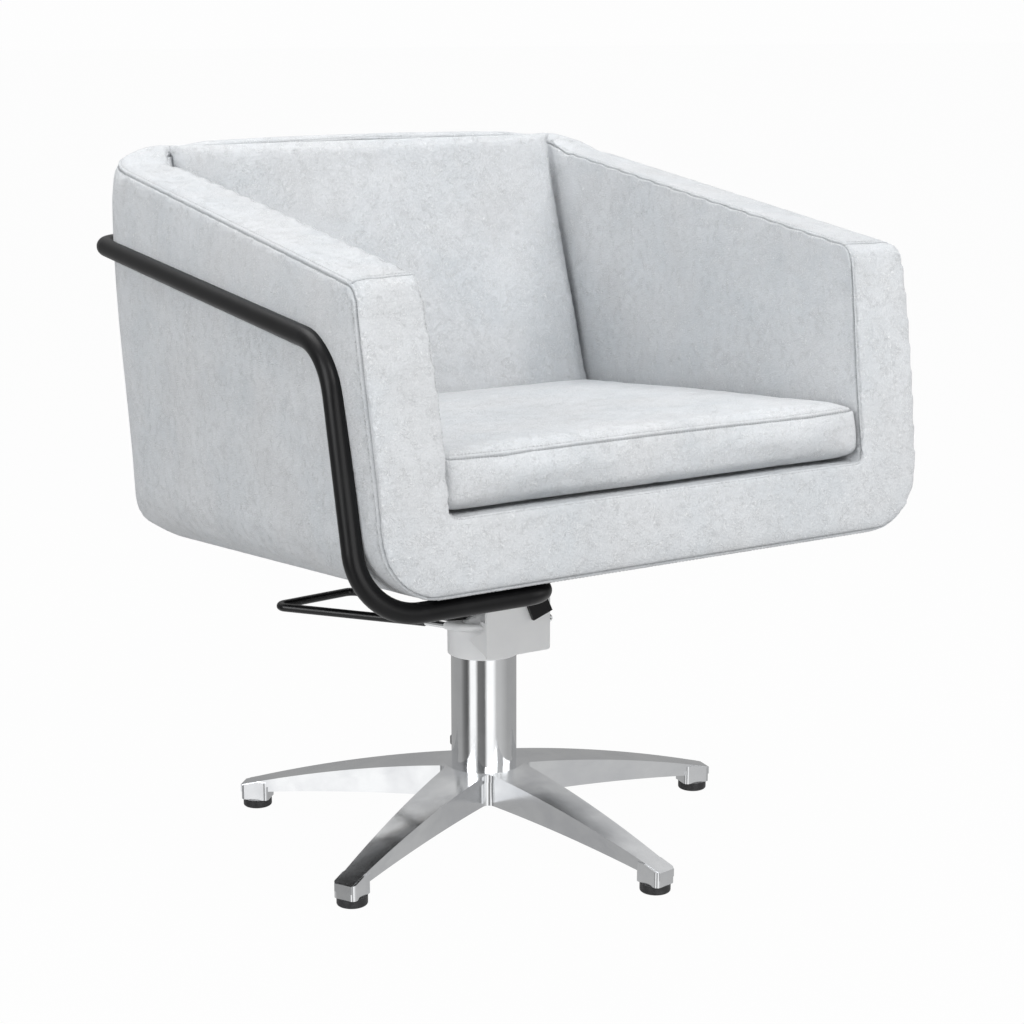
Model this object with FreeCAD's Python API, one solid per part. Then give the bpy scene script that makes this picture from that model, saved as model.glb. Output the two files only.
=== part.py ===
import FreeCAD, Part
import math
import os

os.makedirs("parts", exist_ok=True)
V = FreeCAD.Vector
UP = V(0, 0, 1)

# Styling chair, in millimetres. The origin is on the floor under the column's axis.
# +Z is up and the sitter faces -Y. Left and right in the names are as seen from the front: right is +X.

# ---- Driving dimensions: base ----
foot_circle_r = 280.0        # the five glides stand on this circle
arm_count = 5
first_arm_deg = 64.65        # the seat is drawn turned a little against the base
pad_r = 17.0
pad_h = 10.0
pad_edge_r = 2.0
stud_r = 4.0
stud_up = 12.0               # how far a glide's stud goes up into the arm
hub_top_z = 76.0
hub_under_z = 37.0
hub_corner_r = 47.0          # where two arms meet
arm_end_half = 11.0
arm_end_over = 17.5          # the arm's end, past the glide's centre
arm_end_top_z = 27.0
arm_end_under_z = 16.0
arm_rise = 5.5               # how far the arm's back is arched above a straight line
arm_sag = 3.5
rim_h = 9.0
rim_in = 2.5                 # the side faces lie this far inside the rim
casting_wall = 5.0
end_block_half = 14.0
end_block_in = 17.0
end_block_corner_r = 5.0
corner_fillet_r = 8.0
block_drop = 0.5             # the end blocks stop this far under the arm's back
stud_room = 0.5              # over a stud's end

# ---- Driving dimensions: column and lift ----
column_r = 38.1
column_wall = 3.0
column_top_z = 215.0
column_foot_z = 38.0
plug_h = 10.0
plug_screw_r = 6.0
plug_screw_head_r = 15.6
plug_screw_head_h = 8.0
lift_travel = 120.0
ram_r = 30.0
ram_wall = 4.0
ram_top_z = 236.0
ram_foot_gap = 4.0
stop_ring_h = 8.0
gland_h = 16.0
rod_r = 11.0
piston_h = 20.0
piston_gap = 3.0              # between the gland and the piston at full lift
seal_h = 5.0
seal_depth = 2.0
wiper_h = 5.0
wiper_in = 0.5
cap_h = 14.0
journal_r = 18.0
journal_h = 56.0
bush_wall = 3.0
washer_h = 3.0
washer_gap = 0.5
running_gap = 0.06
body_gap = 0.35              # between pieces of different bodies that don't bear on each other
fit_gap = 0.02               # between pieces that are pressed or glued together

# ---- Driving dimensions: pump head ----
collar_gap = 0.5
collar_wall = 3.4
collar_foot_z = 210.0
collar_top_z = 247.0
head_top_z = 318.0
neck_wall = 4.0
head_pad_r = 42.0            # the round pad at the head's top, under the flange
head_pad_h = 12.0
flange_screw_circle = 31.5
guard_half = 42.0
guard_out = 27.0             # the guard's front, past the pedal shaft
guard_t = 4.0
guard_foot_z = 225.0
guard_top_z = 290.0
web_top_z = 256.0
web_back_in = 14.0           # the webs' rear corners, behind the pedal shaft
web_back_z = 239.0
shaft_out = 8.0              # the pedal shaft's axis, past the collar
shaft_z = 253.0
shaft_r = 5.0
shaft_left_x = -30.0
shaft_right_x = 50.0
shaft_bush_wall = 1.5
nut_r = 7.5
nut_h = 6.0
nut_dome_r = 5.5
torsion_x = -21.0            # where the return spring starts on the shaft
torsion_turns = 4
torsion_wire_r = 1.1
torsion_gap = 1.6
torsion_pitch = 2.31
ear_in = 6.5                 # the ears that carry the shaft stand this far each side of the cam
ear_t = 5.5
ear_half = 10.0
block_half = 24.0
block_corner_r = 4.0
barrel_roof = 8.0
block_foot_z = 268.0
barrel_r = 9.0
plunger_r = 5.0
plunger_out = 12.0           # the plunger's axis, in front of the shaft's
plunger_top_z = 290.0
plunger_foot_out = 5.0       # how far the plunger stands out of its barrel at rest
plunger_lash = 0.1
plunger_wire_r = 0.6
plunger_coil_r = 3.5
plunger_coils = 4
barrel_top_gap = 14.0        # solid metal above the barrel's bore
cam_t = 10.0
cam_r = 7.0
flange_half = 60.0
flange_h = 8.0
flange_corner_r = 10.0
flange_screw_r = 4.0
flange_screw_in = 10.0
flange_screw_head_r = 6.5
flange_screw_head_h = 4.0

# ---- Driving dimensions: lever ----
lever_rod_r = 3.8
lever_grip_r = 5.0
lever_sleeve_r = 4.6
lever_level_z = 245.0
lever_side_out = 6.5          # the lever's side run, past the collar
lever_apex = (-179.0, 188.0)
lever_rear_corner = (-62.0, 201.0)
lever_join = (-59.0, 34.0)
lever_bend_r = 9.0
lever_rear_bend_r = 14.0
lever_close_x = 3.0           # where the loop's return leg is welded to its start
lever_close_y = 17.0
sleeve_start_in = 3.0
sleeve_turn = (4.0, 26.0, 3.0)    # across, back and down from the shaft to the cast arm's bend
sleeve_end_y = 52.0
sleeve_end_up = 2.0
sleeve_bend_r = 14.0
sleeve_boss_h = 8.0
stop_r = 2.6
stop_bend_r = 5.0
stop_out = 6.0               # how far the stop stands off the pump block
stop_in = 8.0
stop_foot_y = 8.0
stop_high_z = 279.0
stop_drop = 6.0
stop_turn_y = -6.0
stop_over = 8.5              # the stop's height over the collar
stop_end_y = 4.0

# ---- Driving dimensions: tub ----
tub_width = 650.0
tub_depth = 621.0
tub_front_h = 299.0
tub_rear_h = 437.0
tub_front_lean = 18.4        # the front's top edge, behind its bottom edge
tub_front_overhang = 370.8   # the front's bottom edge, ahead of the column's axis
tub_tilt_deg = 5.69
tub_under_z = 355.25         # the underside, on the column's axis
arm_crest = 5.0              # the padded top band of an arm, above its seams
back_crest = 22.0            # the same band behind the sitter, which is fuller
arm_rear_crest = 15.0        # and where it climbs to the back, at an arm's rear end
climb_front_in = 53.0        # where it starts to climb, ahead of the tub's rear
climb_rear_in = 15.0
climb_r = 14.0
tub_bottom_r = 66.0
tub_rear_bottom_r = 65.0
tub_rear_corner_r = 42.0
tub_front_top_r = 20.0
tub_edge_r = 10.0
arm_w = 64.0
rail_h = 78.0
rail_depth = 60.0
back_top_t = 14.0
back_seat_t = 62.0
pad_foot_t = 50.0             # the back pad, at the cushion's foot
pad_top_in = 23.5             # the back pad's top front edge, ahead of the tub's rear
pad_top_h = 448.0
seam_gap = 0.25

# ---- Driving dimensions: seat, timber and fixings ----
cushion_gap_side = 7.0
cushion_gap_rear = 3.0
cushion_foot = 83.0
cushion_top = 138.0
cushion_rear_rise = 6.0
cushion_front_in = 2.0
cushion_edge_r = 12.0
board_t = 18.0
board_in = 6.0
board_foot = 3.0
cover_t = 1.5
cover_front_d = 22.0
cover_hole_gap = 0.5
rail_t = 24.0
webbing_w = 50.0
webbing_t = 2.0
webbing_rows = 5
webbing_in = 10.0
core_t = 24.0
core_margin = 16.0
core_skin = 6.0               # foam behind the back's core
back_core_drop = 60.0         # how far the back's core ends below its top
rail_core_skin = 8.0
bracket_t = 5.0
bracket_half_x = 135.0
bracket_half_y = 95.0
bracket_corner_r = 12.0
cheek_at = 50.0
cheek_foot_w = 21.0
cheek_bolt_in = 14.0
cheek_bolt_y = 40.0
cheek_in = 5.0
cheek_taper = 10.0
bolt_r = 4.0
bolt_head_r = 6.8
bolt_head_h = 5.0
bolt_at = 78.0
insert_wall = 2.0
strap_t = 5.0
strap_w = 23.0
strap_lean_deg = 23.0
strap_foot_z = 268.0
strap_x = 29.0
strap_gap = 1.0

# ---- Driving dimensions: frame tube ----
tube_r = 10.5
tube_wall = 2.0
tube_stand_off = 1.0
tube_side_front = (164.0, 261.5)   # depth and height along the tub, at the side run's front
tube_side_rear_h = 344.0
tube_leg_top = (64.0, 226.0)
tube_leg_foot = (40.0, 46.0)
tube_right_shift = 120.0           # the right leg stands this much further back
tube_bend_r = 62.0
tube_corner_r = 64.0
tube_rear_r = 28.0
tube_return_x = 121.0         # where the tube turns back to the bracket
tube_return_r = 34.0
spigot_len = 50.0
tube_joint_x = 200.0

reach = 60.0                 # how far a cutting shape runs past what it cuts
near = 0.1                   # nearer than this counts as touching


# ---- Shared shapes ----
def turned(profile):
    """A solid of revolution about Z, from (radius, height) corners."""
    points = [V(r, 0, z) for r, z in profile]
    face = Part.Face(Part.makePolygon(points + points[:1]))
    return face.revolve(V(0, 0, 0), UP, 360)


def ring(outer, inner, z0, z1):
    return turned([(inner, z0), (outer, z0), (outer, z1), (inner, z1)])


def disc(radius, z0, z1, x=0.0, y=0.0):
    return Part.makeCylinder(radius, z1 - z0, V(x, y, z0))


def block(x0, x1, y0, y1, z0, z1):
    return Part.makeBox(x1 - x0, y1 - y0, z1 - z0, V(x0, y0, z0))


def prism(points, direction):
    return Part.Face(Part.makePolygon(points + points[:1])).extrude(direction)


def bent_path(points, radii):
    """Straight runs through the points, joined by tangent arcs of the given radii."""
    edges, start = [], points[0]
    for i in range(1, len(points) - 1):
        a, b, c = points[i - 1], points[i], points[i + 1]
        back, ahead = (a - b).normalize(), (c - b).normalize()
        half = back.getAngle(ahead) / 2
        cut = radii[i - 1] / math.tan(half)
        middle = (back + ahead).normalize()
        p, q = b + back * cut, b + ahead * cut
        crown = b + middle * (radii[i - 1] / math.sin(half) - radii[i - 1])
        edges += [Part.LineSegment(start, p).toShape(), Part.Arc(p, crown, q).toShape()]
        start = q
    edges.append(Part.LineSegment(start, points[-1]).toShape())
    return Part.Wire(edges)


def rod_along(path, radius):
    """A round rod swept along a path."""
    first = path.OrderedEdges[0]
    begin = first.valueAt(first.FirstParameter)
    along = first.tangentAt(first.FirstParameter)
    if begin.distanceToPoint(path.OrderedVertexes[0].Point) > 1e-6:
        begin = first.valueAt(first.LastParameter)
        along = first.tangentAt(first.LastParameter) * -1
    section = Part.Wire(Part.Circle(begin, along, radius).toShape())
    return path.makePipeShell([section], True, True)


def edges_where(shape, test):
    return [e for e in shape.Edges if test(e)]


def group(shapes):
    return Part.makeCompound(shapes)


def save(name, shape):
    shape.exportStep("parts/" + name + ".step")


# ---- Places worked out from the driving dimensions ----
arm_step = 360.0 / arm_count
arm_end_r = foot_circle_r + arm_end_over
tilt = math.radians(tub_tilt_deg)
collar_r = column_r + collar_gap + collar_wall
lever_side_x = -collar_r - lever_side_out
shaft_y = -collar_r - shaft_out
guard_front_y = shaft_y - guard_out
half_w = tub_width / 2
inner_w = half_w - arm_w
climb_front_d, climb_rear_d = tub_depth - climb_front_in, tub_depth - climb_rear_in
pad_top_d = tub_depth - pad_top_in
side_slope = (tub_rear_h - tub_front_h) / (tub_depth - tub_front_lean)


def tub_place(shape):
    """Carries a shape from the tub's own upright frame to its tilted place on the chair."""
    shape = shape.copy()
    shape.translate(V(0, -tub_front_overhang, 0))
    shape.rotate(V(0, 0, 0), V(1, 0, 0), -tub_tilt_deg)
    shape.translate(V(0, 0, tub_under_z))
    return shape


def tub_point(x, depth, height):
    y, z = depth - tub_front_overhang, height
    return V(x, y * math.cos(tilt) + z * math.sin(tilt),
             -y * math.sin(tilt) + z * math.cos(tilt) + tub_under_z)


def arm_directions():
    return [math.radians(first_arm_deg + arm_step * i) for i in range(arm_count)]


# ---- Base ----
def arch(r0, z0, r1, z1, rise):
    """An edge in the radial plane, arched above the middle of its chord, or straight."""
    if rise == 0:
        return Part.LineSegment(V(r0, 0, z0), V(r1, 0, z1)).toShape()
    return Part.Arc(V(r0, 0, z0), V((r0 + r1) / 2, 0, (z0 + z1) / 2 + rise), V(r1, 0, z1)).toShape()


def radial_band(top_drop, under_z_hub, under_z_end, sag):
    """The space between the arms' arched backs and a lower arched surface, all round the hub."""
    outer = arm_end_r + 1
    top = arch(hub_corner_r, hub_top_z - top_drop, outer, arm_end_top_z - top_drop, arm_rise)
    low = arch(hub_corner_r, under_z_hub, outer, under_z_end, sag)
    wire = Part.Wire([
        Part.LineSegment(V(0, 0, under_z_hub), V(0, 0, hub_top_z - top_drop)).toShape(),
        Part.LineSegment(V(0, 0, hub_top_z - top_drop), V(hub_corner_r, 0, hub_top_z - top_drop)).toShape(),
        top,
        Part.LineSegment(V(outer, 0, arm_end_top_z - top_drop), V(outer, 0, under_z_end)).toShape(),
        low,
        Part.LineSegment(V(hub_corner_r, 0, under_z_hub), V(0, 0, under_z_hub)).toShape(),
    ])
    return Part.Face(wire).revolve(V(0, 0, 0), UP, 360)


def star_corners(inset):
    """Where an arm's side, drawn in by the inset, meets its neighbour's, and where it ends."""
    half_step = math.radians(arm_step / 2)
    bisector = V(math.cos(half_step), math.sin(half_step), 0)
    hub = bisector * hub_corner_r
    side = (V(arm_end_r, arm_end_half, 0) - hub).normalize()
    start = hub + V(side.y, -side.x, 0) * inset
    corner_r = (start.x * side.y - start.y * side.x) / (bisector.x * side.y - bisector.y * side.x)
    end_x = arm_end_r - inset
    return corner_r, end_x, start.y + side.y / side.x * (end_x - start.x)


def star(inset):
    """The arms' outline from above, as a tall prism, drawn in by the inset."""
    corner_r, end_x, end_half = star_corners(inset)
    points = []
    for a in arm_directions():
        for across in (-end_half, end_half):
            points.append(V(end_x * math.cos(a) - across * math.sin(a),
                            end_x * math.sin(a) + across * math.cos(a), 0))
        corner = a + math.radians(arm_step / 2)
        points.append(V(corner_r * math.cos(corner), corner_r * math.sin(corner), 0))
    solid = prism(points, V(0, 0, hub_top_z + reach))
    corners = edges_where(solid, lambda e: abs(e.Vertexes[0].Z - e.Vertexes[-1].Z) > 1
                          and math.hypot(e.Vertexes[0].X, e.Vertexes[0].Y) < hub_corner_r + 1)
    return solid.makeFillet(corner_fillet_r, corners)


def end_block(a):
    """The squared boss over a glide, at the end of an arm."""
    z0, z1 = pad_h, arm_end_top_z + arm_rise
    shape = block(foot_circle_r - end_block_in, arm_end_r - 1, -end_block_half, end_block_half, z0, z1)
    upright = edges_where(shape, lambda e: abs(e.Vertexes[0].Z - e.Vertexes[1].Z) > 1)
    shape = shape.makeFillet(end_block_corner_r, upright)
    shape.rotate(V(0, 0, 0), UP, math.degrees(a))
    return shape


def base_casting():
    cap = star(0).common(radial_band(0, hub_top_z - rim_h, arm_end_top_z - rim_h, arm_rise))
    web = star(rim_in).common(radial_band(rim_h / 2, hub_under_z, arm_end_under_z, arm_sag))
    blocks = [end_block(a) for a in arm_directions()]
    top_limit = radial_band(block_drop, pad_h, pad_h, 0)
    blocks = [b.common(top_limit) for b in blocks]
    hollow = star(rim_in + casting_wall).common(
        radial_band(casting_wall + rim_h / 2, -1, -1, 0)).cut(disc(column_r + casting_wall, 0, hub_top_z))
    for a in arm_directions():
        tip = block(foot_circle_r - end_block_in - 2, arm_end_r + reach, -reach, reach, 0, hub_top_z)
        tip.rotate(V(0, 0, 0), UP, math.degrees(a))
        hollow = hollow.cut(tip)
    hub = disc(column_r + casting_wall, hub_under_z - 2, hub_top_z)
    body = web.cut(hollow).fuse([cap.cut(hollow), hub] + blocks)
    body = body.cut(disc(column_r + fit_gap, column_foot_z, hub_top_z + reach))
    body = body.cut(disc(plug_screw_r + fit_gap, 0, hub_top_z))
    for a in arm_directions():
        x, y = foot_circle_r * math.cos(a), foot_circle_r * math.sin(a)
        body = body.cut(disc(stud_r + fit_gap, 0, pad_h + stud_up + stud_room, x, y))
    return body.removeSplitter()


def foot_pads():
    pads = []
    for a in arm_directions():
        pad = disc(pad_r, 0, pad_h, foot_circle_r * math.cos(a), foot_circle_r * math.sin(a))
        low = edges_where(pad, lambda e: len(e.Vertexes) == 1 and e.Vertexes[0].Z < near)
        pads.append(pad.makeFillet(pad_edge_r, low))
    return pads


def pad_studs():
    return [disc(stud_r, pad_h, pad_h + stud_up, foot_circle_r * math.cos(a), foot_circle_r * math.sin(a))
            for a in arm_directions()]


# ---- Column and lift ----
plug_top_z = column_foot_z + plug_h
ram_foot_z = plug_top_z + ram_foot_gap
column_in = column_r - column_wall
ram_in = ram_r - ram_wall
bush_foot_z = ram_foot_z + stop_ring_h + lift_travel + body_gap
cap_foot_z = ram_top_z - cap_h
piston_foot_z = ram_foot_z + gland_h + lift_travel + piston_gap


def column_tube():
    return ring(column_r, column_in, column_foot_z, column_top_z)


def column_plug():
    """Closes the column's foot, carries the lift rod and takes the screw through the hub."""
    body = disc(column_in - fit_gap, column_foot_z, plug_top_z)
    return body.cut(disc(plug_screw_r + fit_gap, column_foot_z - 1, plug_top_z - 3))


def hub_screw():
    under = hub_under_z - 2
    shank = disc(plug_screw_r, under, plug_top_z - 4)
    head = disc(plug_screw_head_r, under - plug_screw_head_h, under)
    return head.fuse(shank).removeSplitter()


def lift_rod():
    return disc(rod_r, plug_top_z, piston_foot_z)


def lift_piston():
    body = disc(ram_in - running_gap, piston_foot_z, piston_foot_z + piston_h)
    middle = piston_foot_z + piston_h / 2
    groove = ring(ram_in + 1, ram_in - seal_depth, middle - seal_h / 2, middle + seal_h / 2)
    return body.cut(groove)


def piston_seal():
    middle = piston_foot_z + piston_h / 2
    return ring(ram_in - running_gap, ram_in - seal_depth, middle - seal_h / 2, middle + seal_h / 2)


def guide_bush():
    return ring(column_in, ram_r + running_gap, bush_foot_z, column_top_z - wiper_h)


def wiper_ring():
    return ring(column_in, ram_r + running_gap, column_top_z - wiper_h, column_top_z - wiper_in)


def ram_tube():
    return ring(ram_r, ram_in, ram_foot_z, ram_top_z)


def rod_gland():
    """Closes the ram's foot round the lift rod."""
    return ring(ram_in, rod_r + running_gap, ram_foot_z, ram_foot_z + gland_h)


def stop_ring():
    """Rides at the ram's foot and meets the guide bush at full lift."""
    return ring(column_in - running_gap, ram_r, ram_foot_z, ram_foot_z + stop_ring_h)


def ram_cap():
    plug = disc(ram_in, cap_foot_z, ram_top_z)
    return plug.fuse(disc(journal_r, ram_top_z, ram_top_z + journal_h)).removeSplitter()


def thrust_washer():
    return ring(ram_r - 1, journal_r + washer_gap, ram_top_z, ram_top_z + washer_h)


# ---- Pump head ----
bore_floor_z = ram_top_z + washer_h + running_gap
collar_in = collar_r - collar_wall


def swivel_bush():
    return ring(journal_r + bush_wall, journal_r + running_gap, bore_floor_z, ram_top_z + journal_h - 2)


def pump_head():
    """The casting that carries the seat: collar, neck and pump block in one piece."""
    neck_r = journal_r + bush_wall + neck_wall
    collar = ring(collar_r, collar_in, collar_foot_z, collar_top_z)
    shoulder = ring(collar_r, journal_r + bush_wall, bore_floor_z, collar_top_z)
    neck = ring(neck_r, journal_r + bush_wall, bore_floor_z, head_top_z)
    roof = disc(neck_r, ram_top_z + journal_h + body_gap, head_top_z)
    top_pad = ring(head_pad_r, neck_r - 1, head_top_z - head_pad_h, head_top_z)
    pump = block(-block_half, block_half, guard_front_y + guard_t, 0, block_foot_z, head_top_z)
    upright = edges_where(pump, lambda e: abs(e.Vertexes[0].Z - e.Vertexes[1].Z) > 1
                          and e.Vertexes[0].Y < shaft_y)
    pump = pump.makeFillet(block_corner_r, upright).cut(disc(neck_r - 1, block_foot_z - 1, head_top_z + 1))
    head = collar.fuse([shoulder, neck, roof, top_pad, pump])
    barrel_y = shaft_y - plunger_out
    head = head.cut(disc(barrel_r, block_foot_z - 1, head_top_z - barrel_roof, 0, barrel_y))
    for x, y in flange_screw_places():
        head = head.cut(disc(flange_screw_r, head_top_z - flange_screw_in - 2, head_top_z + 1, x, y))
    for x in (-ear_in - ear_t, ear_in):
        ear = block(x, x + ear_t, shaft_y - ear_half, shaft_y + ear_half, shaft_z, block_foot_z)
        eye = Part.makeCylinder(ear_half, ear_t, V(x, shaft_y, shaft_z), V(1, 0, 0))
        bore = Part.makeCylinder(shaft_r + shaft_bush_wall, ear_t, V(x, shaft_y, shaft_z), V(1, 0, 0))
        head = head.fuse(ear.fuse(eye).cut(bore))
    return head.removeSplitter()


def shaft_bushes():
    """Bronze bearings for the pedal shaft, in the pump block's two ears."""
    bushes = []
    for x in (-ear_in - ear_t, ear_in):
        sleeve = Part.makeCylinder(shaft_r + shaft_bush_wall, ear_t, V(x, shaft_y, shaft_z), V(1, 0, 0))
        bore = Part.makeCylinder(shaft_r + running_gap, ear_t, V(x, shaft_y, shaft_z), V(1, 0, 0))
        bushes.append(sleeve.cut(bore))
    return bushes


def flange_screw_places():
    d = flange_screw_circle / math.sqrt(2)
    return [(d, d), (-d, d), (-d, -d), (d, -d)]


def pump_barrel():
    """The steel liner that the plunger works in."""
    y = shaft_y - plunger_out
    body = disc(barrel_r, block_foot_z, head_top_z - barrel_roof, 0, y)
    return body.cut(disc(plunger_r + running_gap, block_foot_z - 1, head_top_z - barrel_top_gap, 0, y))


def head_guard():
    """Folded plate in front of the pump, with a triangular web at each side."""
    plate = block(-guard_half, guard_half, guard_front_y, guard_front_y + guard_t, guard_foot_z, guard_top_z)
    corners = edges_where(plate, lambda e: abs(e.Vertexes[0].Y - e.Vertexes[1].Y) > 1)
    plate = plate.makeFillet(3, corners)
    y0 = guard_front_y + guard_t
    outline = [(y0, guard_foot_z + 3), (y0, web_top_z), (shaft_y + web_back_in, web_back_z)]
    webs = [prism([V(x, y, z) for y, z in outline], V(guard_t, 0, 0))
            for x in (-guard_half, guard_half - guard_t)]
    guard = plate.fuse(webs)
    return guard.cut(disc(collar_r, collar_foot_z - reach, head_top_z)).removeSplitter()


def head_flange():
    z0 = head_top_z
    plate = block(-flange_half, flange_half, -flange_half, flange_half, z0, z0 + flange_h)
    corners = edges_where(plate, lambda e: abs(e.Vertexes[0].Z - e.Vertexes[1].Z) > 1)
    plate = plate.makeFillet(flange_corner_r, corners)
    for x, y in flange_screw_places():
        plate = plate.cut(disc(flange_screw_r + fit_gap, z0 - 1, z0 + flange_h + 1, x, y))
    for x, y in cheek_bolt_places():
        plate = plate.cut(disc(bolt_r + fit_gap, z0 - 1, z0 + flange_h + 1, x, y))
    return plate


def flange_screws():
    z0 = head_top_z + flange_h
    foot = head_top_z - flange_screw_in
    return [disc(flange_screw_r, foot, z0, x, y).fuse(
        disc(flange_screw_head_r, z0, z0 + flange_screw_head_h, x, y)).removeSplitter()
        for x, y in flange_screw_places()]


# ---- Lever and pump works ----
cam_top_z = block_foot_z - plunger_foot_out


def pedal_shaft():
    x0 = shaft_left_x
    return Part.makeCylinder(shaft_r, shaft_right_x - x0, V(x0, shaft_y, shaft_z), V(1, 0, 0))


def pedal_cam():
    """A lobe on the shaft that lifts the plunger as the lever goes down."""
    hub = Part.makeCylinder(shaft_r + 4, cam_t, V(-cam_t / 2, shaft_y, shaft_z), V(1, 0, 0))
    lobe_at = V(-cam_t / 2, shaft_y - plunger_out + 1, cam_top_z - cam_r)
    lobe = Part.makeCylinder(cam_r, cam_t, lobe_at, V(1, 0, 0))
    bore = Part.makeCylinder(shaft_r + fit_gap, cam_t + 2, V(-cam_t / 2 - 1, shaft_y, shaft_z), V(1, 0, 0))
    return hub.fuse(lobe).cut(bore).removeSplitter()


def shaft_nut():
    """Acorn nut on the shaft's right end."""
    x0 = shaft_right_x
    sides = 6
    turns = [math.radians(360 / sides * i) for i in range(sides)]
    points = [V(x0, shaft_y + nut_r * math.cos(t), shaft_z + nut_r * math.sin(t)) for t in turns]
    nut = prism(points, V(nut_h, 0, 0))
    return nut.fuse(Part.makeSphere(nut_dome_r, V(x0 + nut_h, shaft_y, shaft_z))).removeSplitter()


def lever_points():
    """The lever's centre line, from the shaft round the loop and back to the sleeve's end."""
    level = lever_level_z
    across, back, down = sleeve_turn
    sleeve = [V(shaft_left_x + sleeve_start_in, shaft_y, shaft_z),
              V(lever_side_x + across, shaft_y + back, shaft_z - down),
              V(lever_side_x, shaft_y + sleeve_end_y, level + sleeve_end_up)]
    rod = [sleeve[-1], V(lever_join[0], lever_join[1], level)]
    loop = [V(lever_join[0], lever_join[1], level), V(lever_apex[0], lever_apex[1], level),
            V(lever_rear_corner[0], lever_rear_corner[1], level),
            V(lever_join[0] + lever_close_x, lever_join[1] + lever_close_y, level)]
    return sleeve, rod, loop


def pedal_sleeve():
    """The cast arm that carries the rod round the collar, on the shaft's left end."""
    sleeve, _, _ = lever_points()
    arm = rod_along(bent_path(sleeve, [sleeve_bend_r]), lever_sleeve_r)
    boss = Part.makeCylinder(shaft_r + 3, sleeve_boss_h, V(shaft_left_x - 1, shaft_y, shaft_z), V(1, 0, 0))
    start = V(shaft_left_x, shaft_y, shaft_z)
    bore = Part.makeCylinder(shaft_r + fit_gap, sleeve_boss_h + 1, start, V(1, 0, 0))
    return arm.fuse(boss).cut(bore).removeSplitter()


def pedal_rod():
    _, rod, _ = lever_points()
    straight = rod_along(Part.Wire(Part.LineSegment(rod[0], rod[1]).toShape()), lever_rod_r)
    return straight.cut(pedal_sleeve()).cut(pedal_grip())


def pedal_grip():
    """The coated loop the foot presses, its return leg welded to its start."""
    _, _, loop = lever_points()
    grip = rod_along(bent_path(loop, [lever_bend_r, lever_rear_bend_r]), lever_grip_r)
    closing = loop[0] - loop[-1]
    tail = Part.makeCylinder(lever_grip_r, closing.Length, loop[-1], closing)
    return grip.fuse([tail, Part.makeSphere(lever_grip_r, loop[-1])]).removeSplitter()


def lever_stop():
    """A bent wire on the pump block, over the collar, that the lever's rod comes up against."""
    side = -block_half - stop_out
    rest_z = lever_level_z + lever_grip_r + stop_r + body_gap
    points = [V(side + stop_in, shaft_y + stop_foot_y, stop_high_z),
              V(side, shaft_y + stop_foot_y + stop_in, stop_high_z - stop_drop),
              V(side, stop_turn_y, collar_top_z + stop_over),
              V(lever_side_x + stop_in, -stop_turn_y * 2, collar_top_z + stop_over / 2),
              V(lever_join[0], lever_join[1] - stop_end_y, rest_z)]
    return rod_along(bent_path(points, [stop_bend_r] * 3), stop_r).cut(pump_head())


def pump_plunger():
    y = shaft_y - plunger_out
    return disc(plunger_r, cam_top_z + plunger_lash, plunger_top_z, 0, y)


def plunger_spring():
    """Pushes the plunger back down onto the cam."""
    y, z0, z1 = shaft_y - plunger_out, plunger_top_z, head_top_z - barrel_top_gap
    pitch = (z1 - z0 - 2 * plunger_wire_r) / (plunger_coils - 1)
    return [Part.makeTorus(plunger_coil_r, plunger_wire_r, V(0, y, z0 + plunger_wire_r + i * pitch))
            for i in range(plunger_coils)]


def torsion_spring():
    """The lever's return spring, wound round the shaft beside the sleeve."""
    coil_r = shaft_r + torsion_gap + torsion_wire_r
    places = [V(torsion_x + i * torsion_pitch, shaft_y, shaft_z) for i in range(torsion_turns)]
    return [Part.makeTorus(coil_r, torsion_wire_r, place, V(1, 0, 0)) for place in places]


# ---- Seat bracket ----
def cheek_bolt_places():
    return [(sx * (cheek_at - cheek_bolt_in), sy * cheek_bolt_y) for sx in (1, -1) for sy in (1, -1)]


def bracket_plate_face(height):
    """The height of the tub's underside less an amount, at the front and rear of the bracket."""
    return [tub_point(0, tub_front_overhang + s * bracket_half_y, -height) for s in (-1, 1)]


def seat_bracket():
    """Folded steel bracket: a tilted plate under the tub and two cheeks down to the head flange."""
    d0, d1 = tub_front_overhang - bracket_half_y, tub_front_overhang + bracket_half_y
    plate = block(-bracket_half_x, bracket_half_x, d0, d1, -cover_t - bracket_t, -cover_t)
    corners = edges_where(plate, lambda e: abs(e.Vertexes[0].Z - e.Vertexes[1].Z) > 1)
    plate = plate.makeFillet(bracket_corner_r, corners)
    for x, y in bracket_bolt_places():
        plate = plate.cut(disc(bolt_r + fit_gap, -reach, reach, x, tub_front_overhang + y))
    plate = tub_place(plate)
    z0 = head_top_z + flange_h
    front, rear = bracket_plate_face(cover_t + bracket_t / 2)
    cheeks = []
    for sx in (1, -1):
        x0 = sx * cheek_at - bracket_t / 2
        outline = [V(x0, -flange_half + cheek_in, z0), V(x0, flange_half - cheek_in, z0),
                   V(x0, rear.y - cheek_taper, rear.z + 1), V(x0, front.y + cheek_taper, front.z - 1)]
        cheeks.append(prism(outline, V(bracket_t, 0, 0)))
        foot_x = sorted((sx * (cheek_at - cheek_foot_w), sx * cheek_at))
        foot = block(foot_x[0], foot_x[1], -flange_half + cheek_in, flange_half - cheek_in,
                     z0, z0 + bracket_t)
        for x, y in cheek_bolt_places():
            foot = foot.cut(disc(bolt_r + fit_gap, z0 - 1, z0 + bracket_t + 1, x, y))
        cheeks.append(foot)
    return plate.fuse(cheeks).removeSplitter()


def bracket_bolt_places():
    return [(sx * bolt_at, sy * bolt_at) for sx in (1, -1) for sy in (1, -1)]


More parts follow.
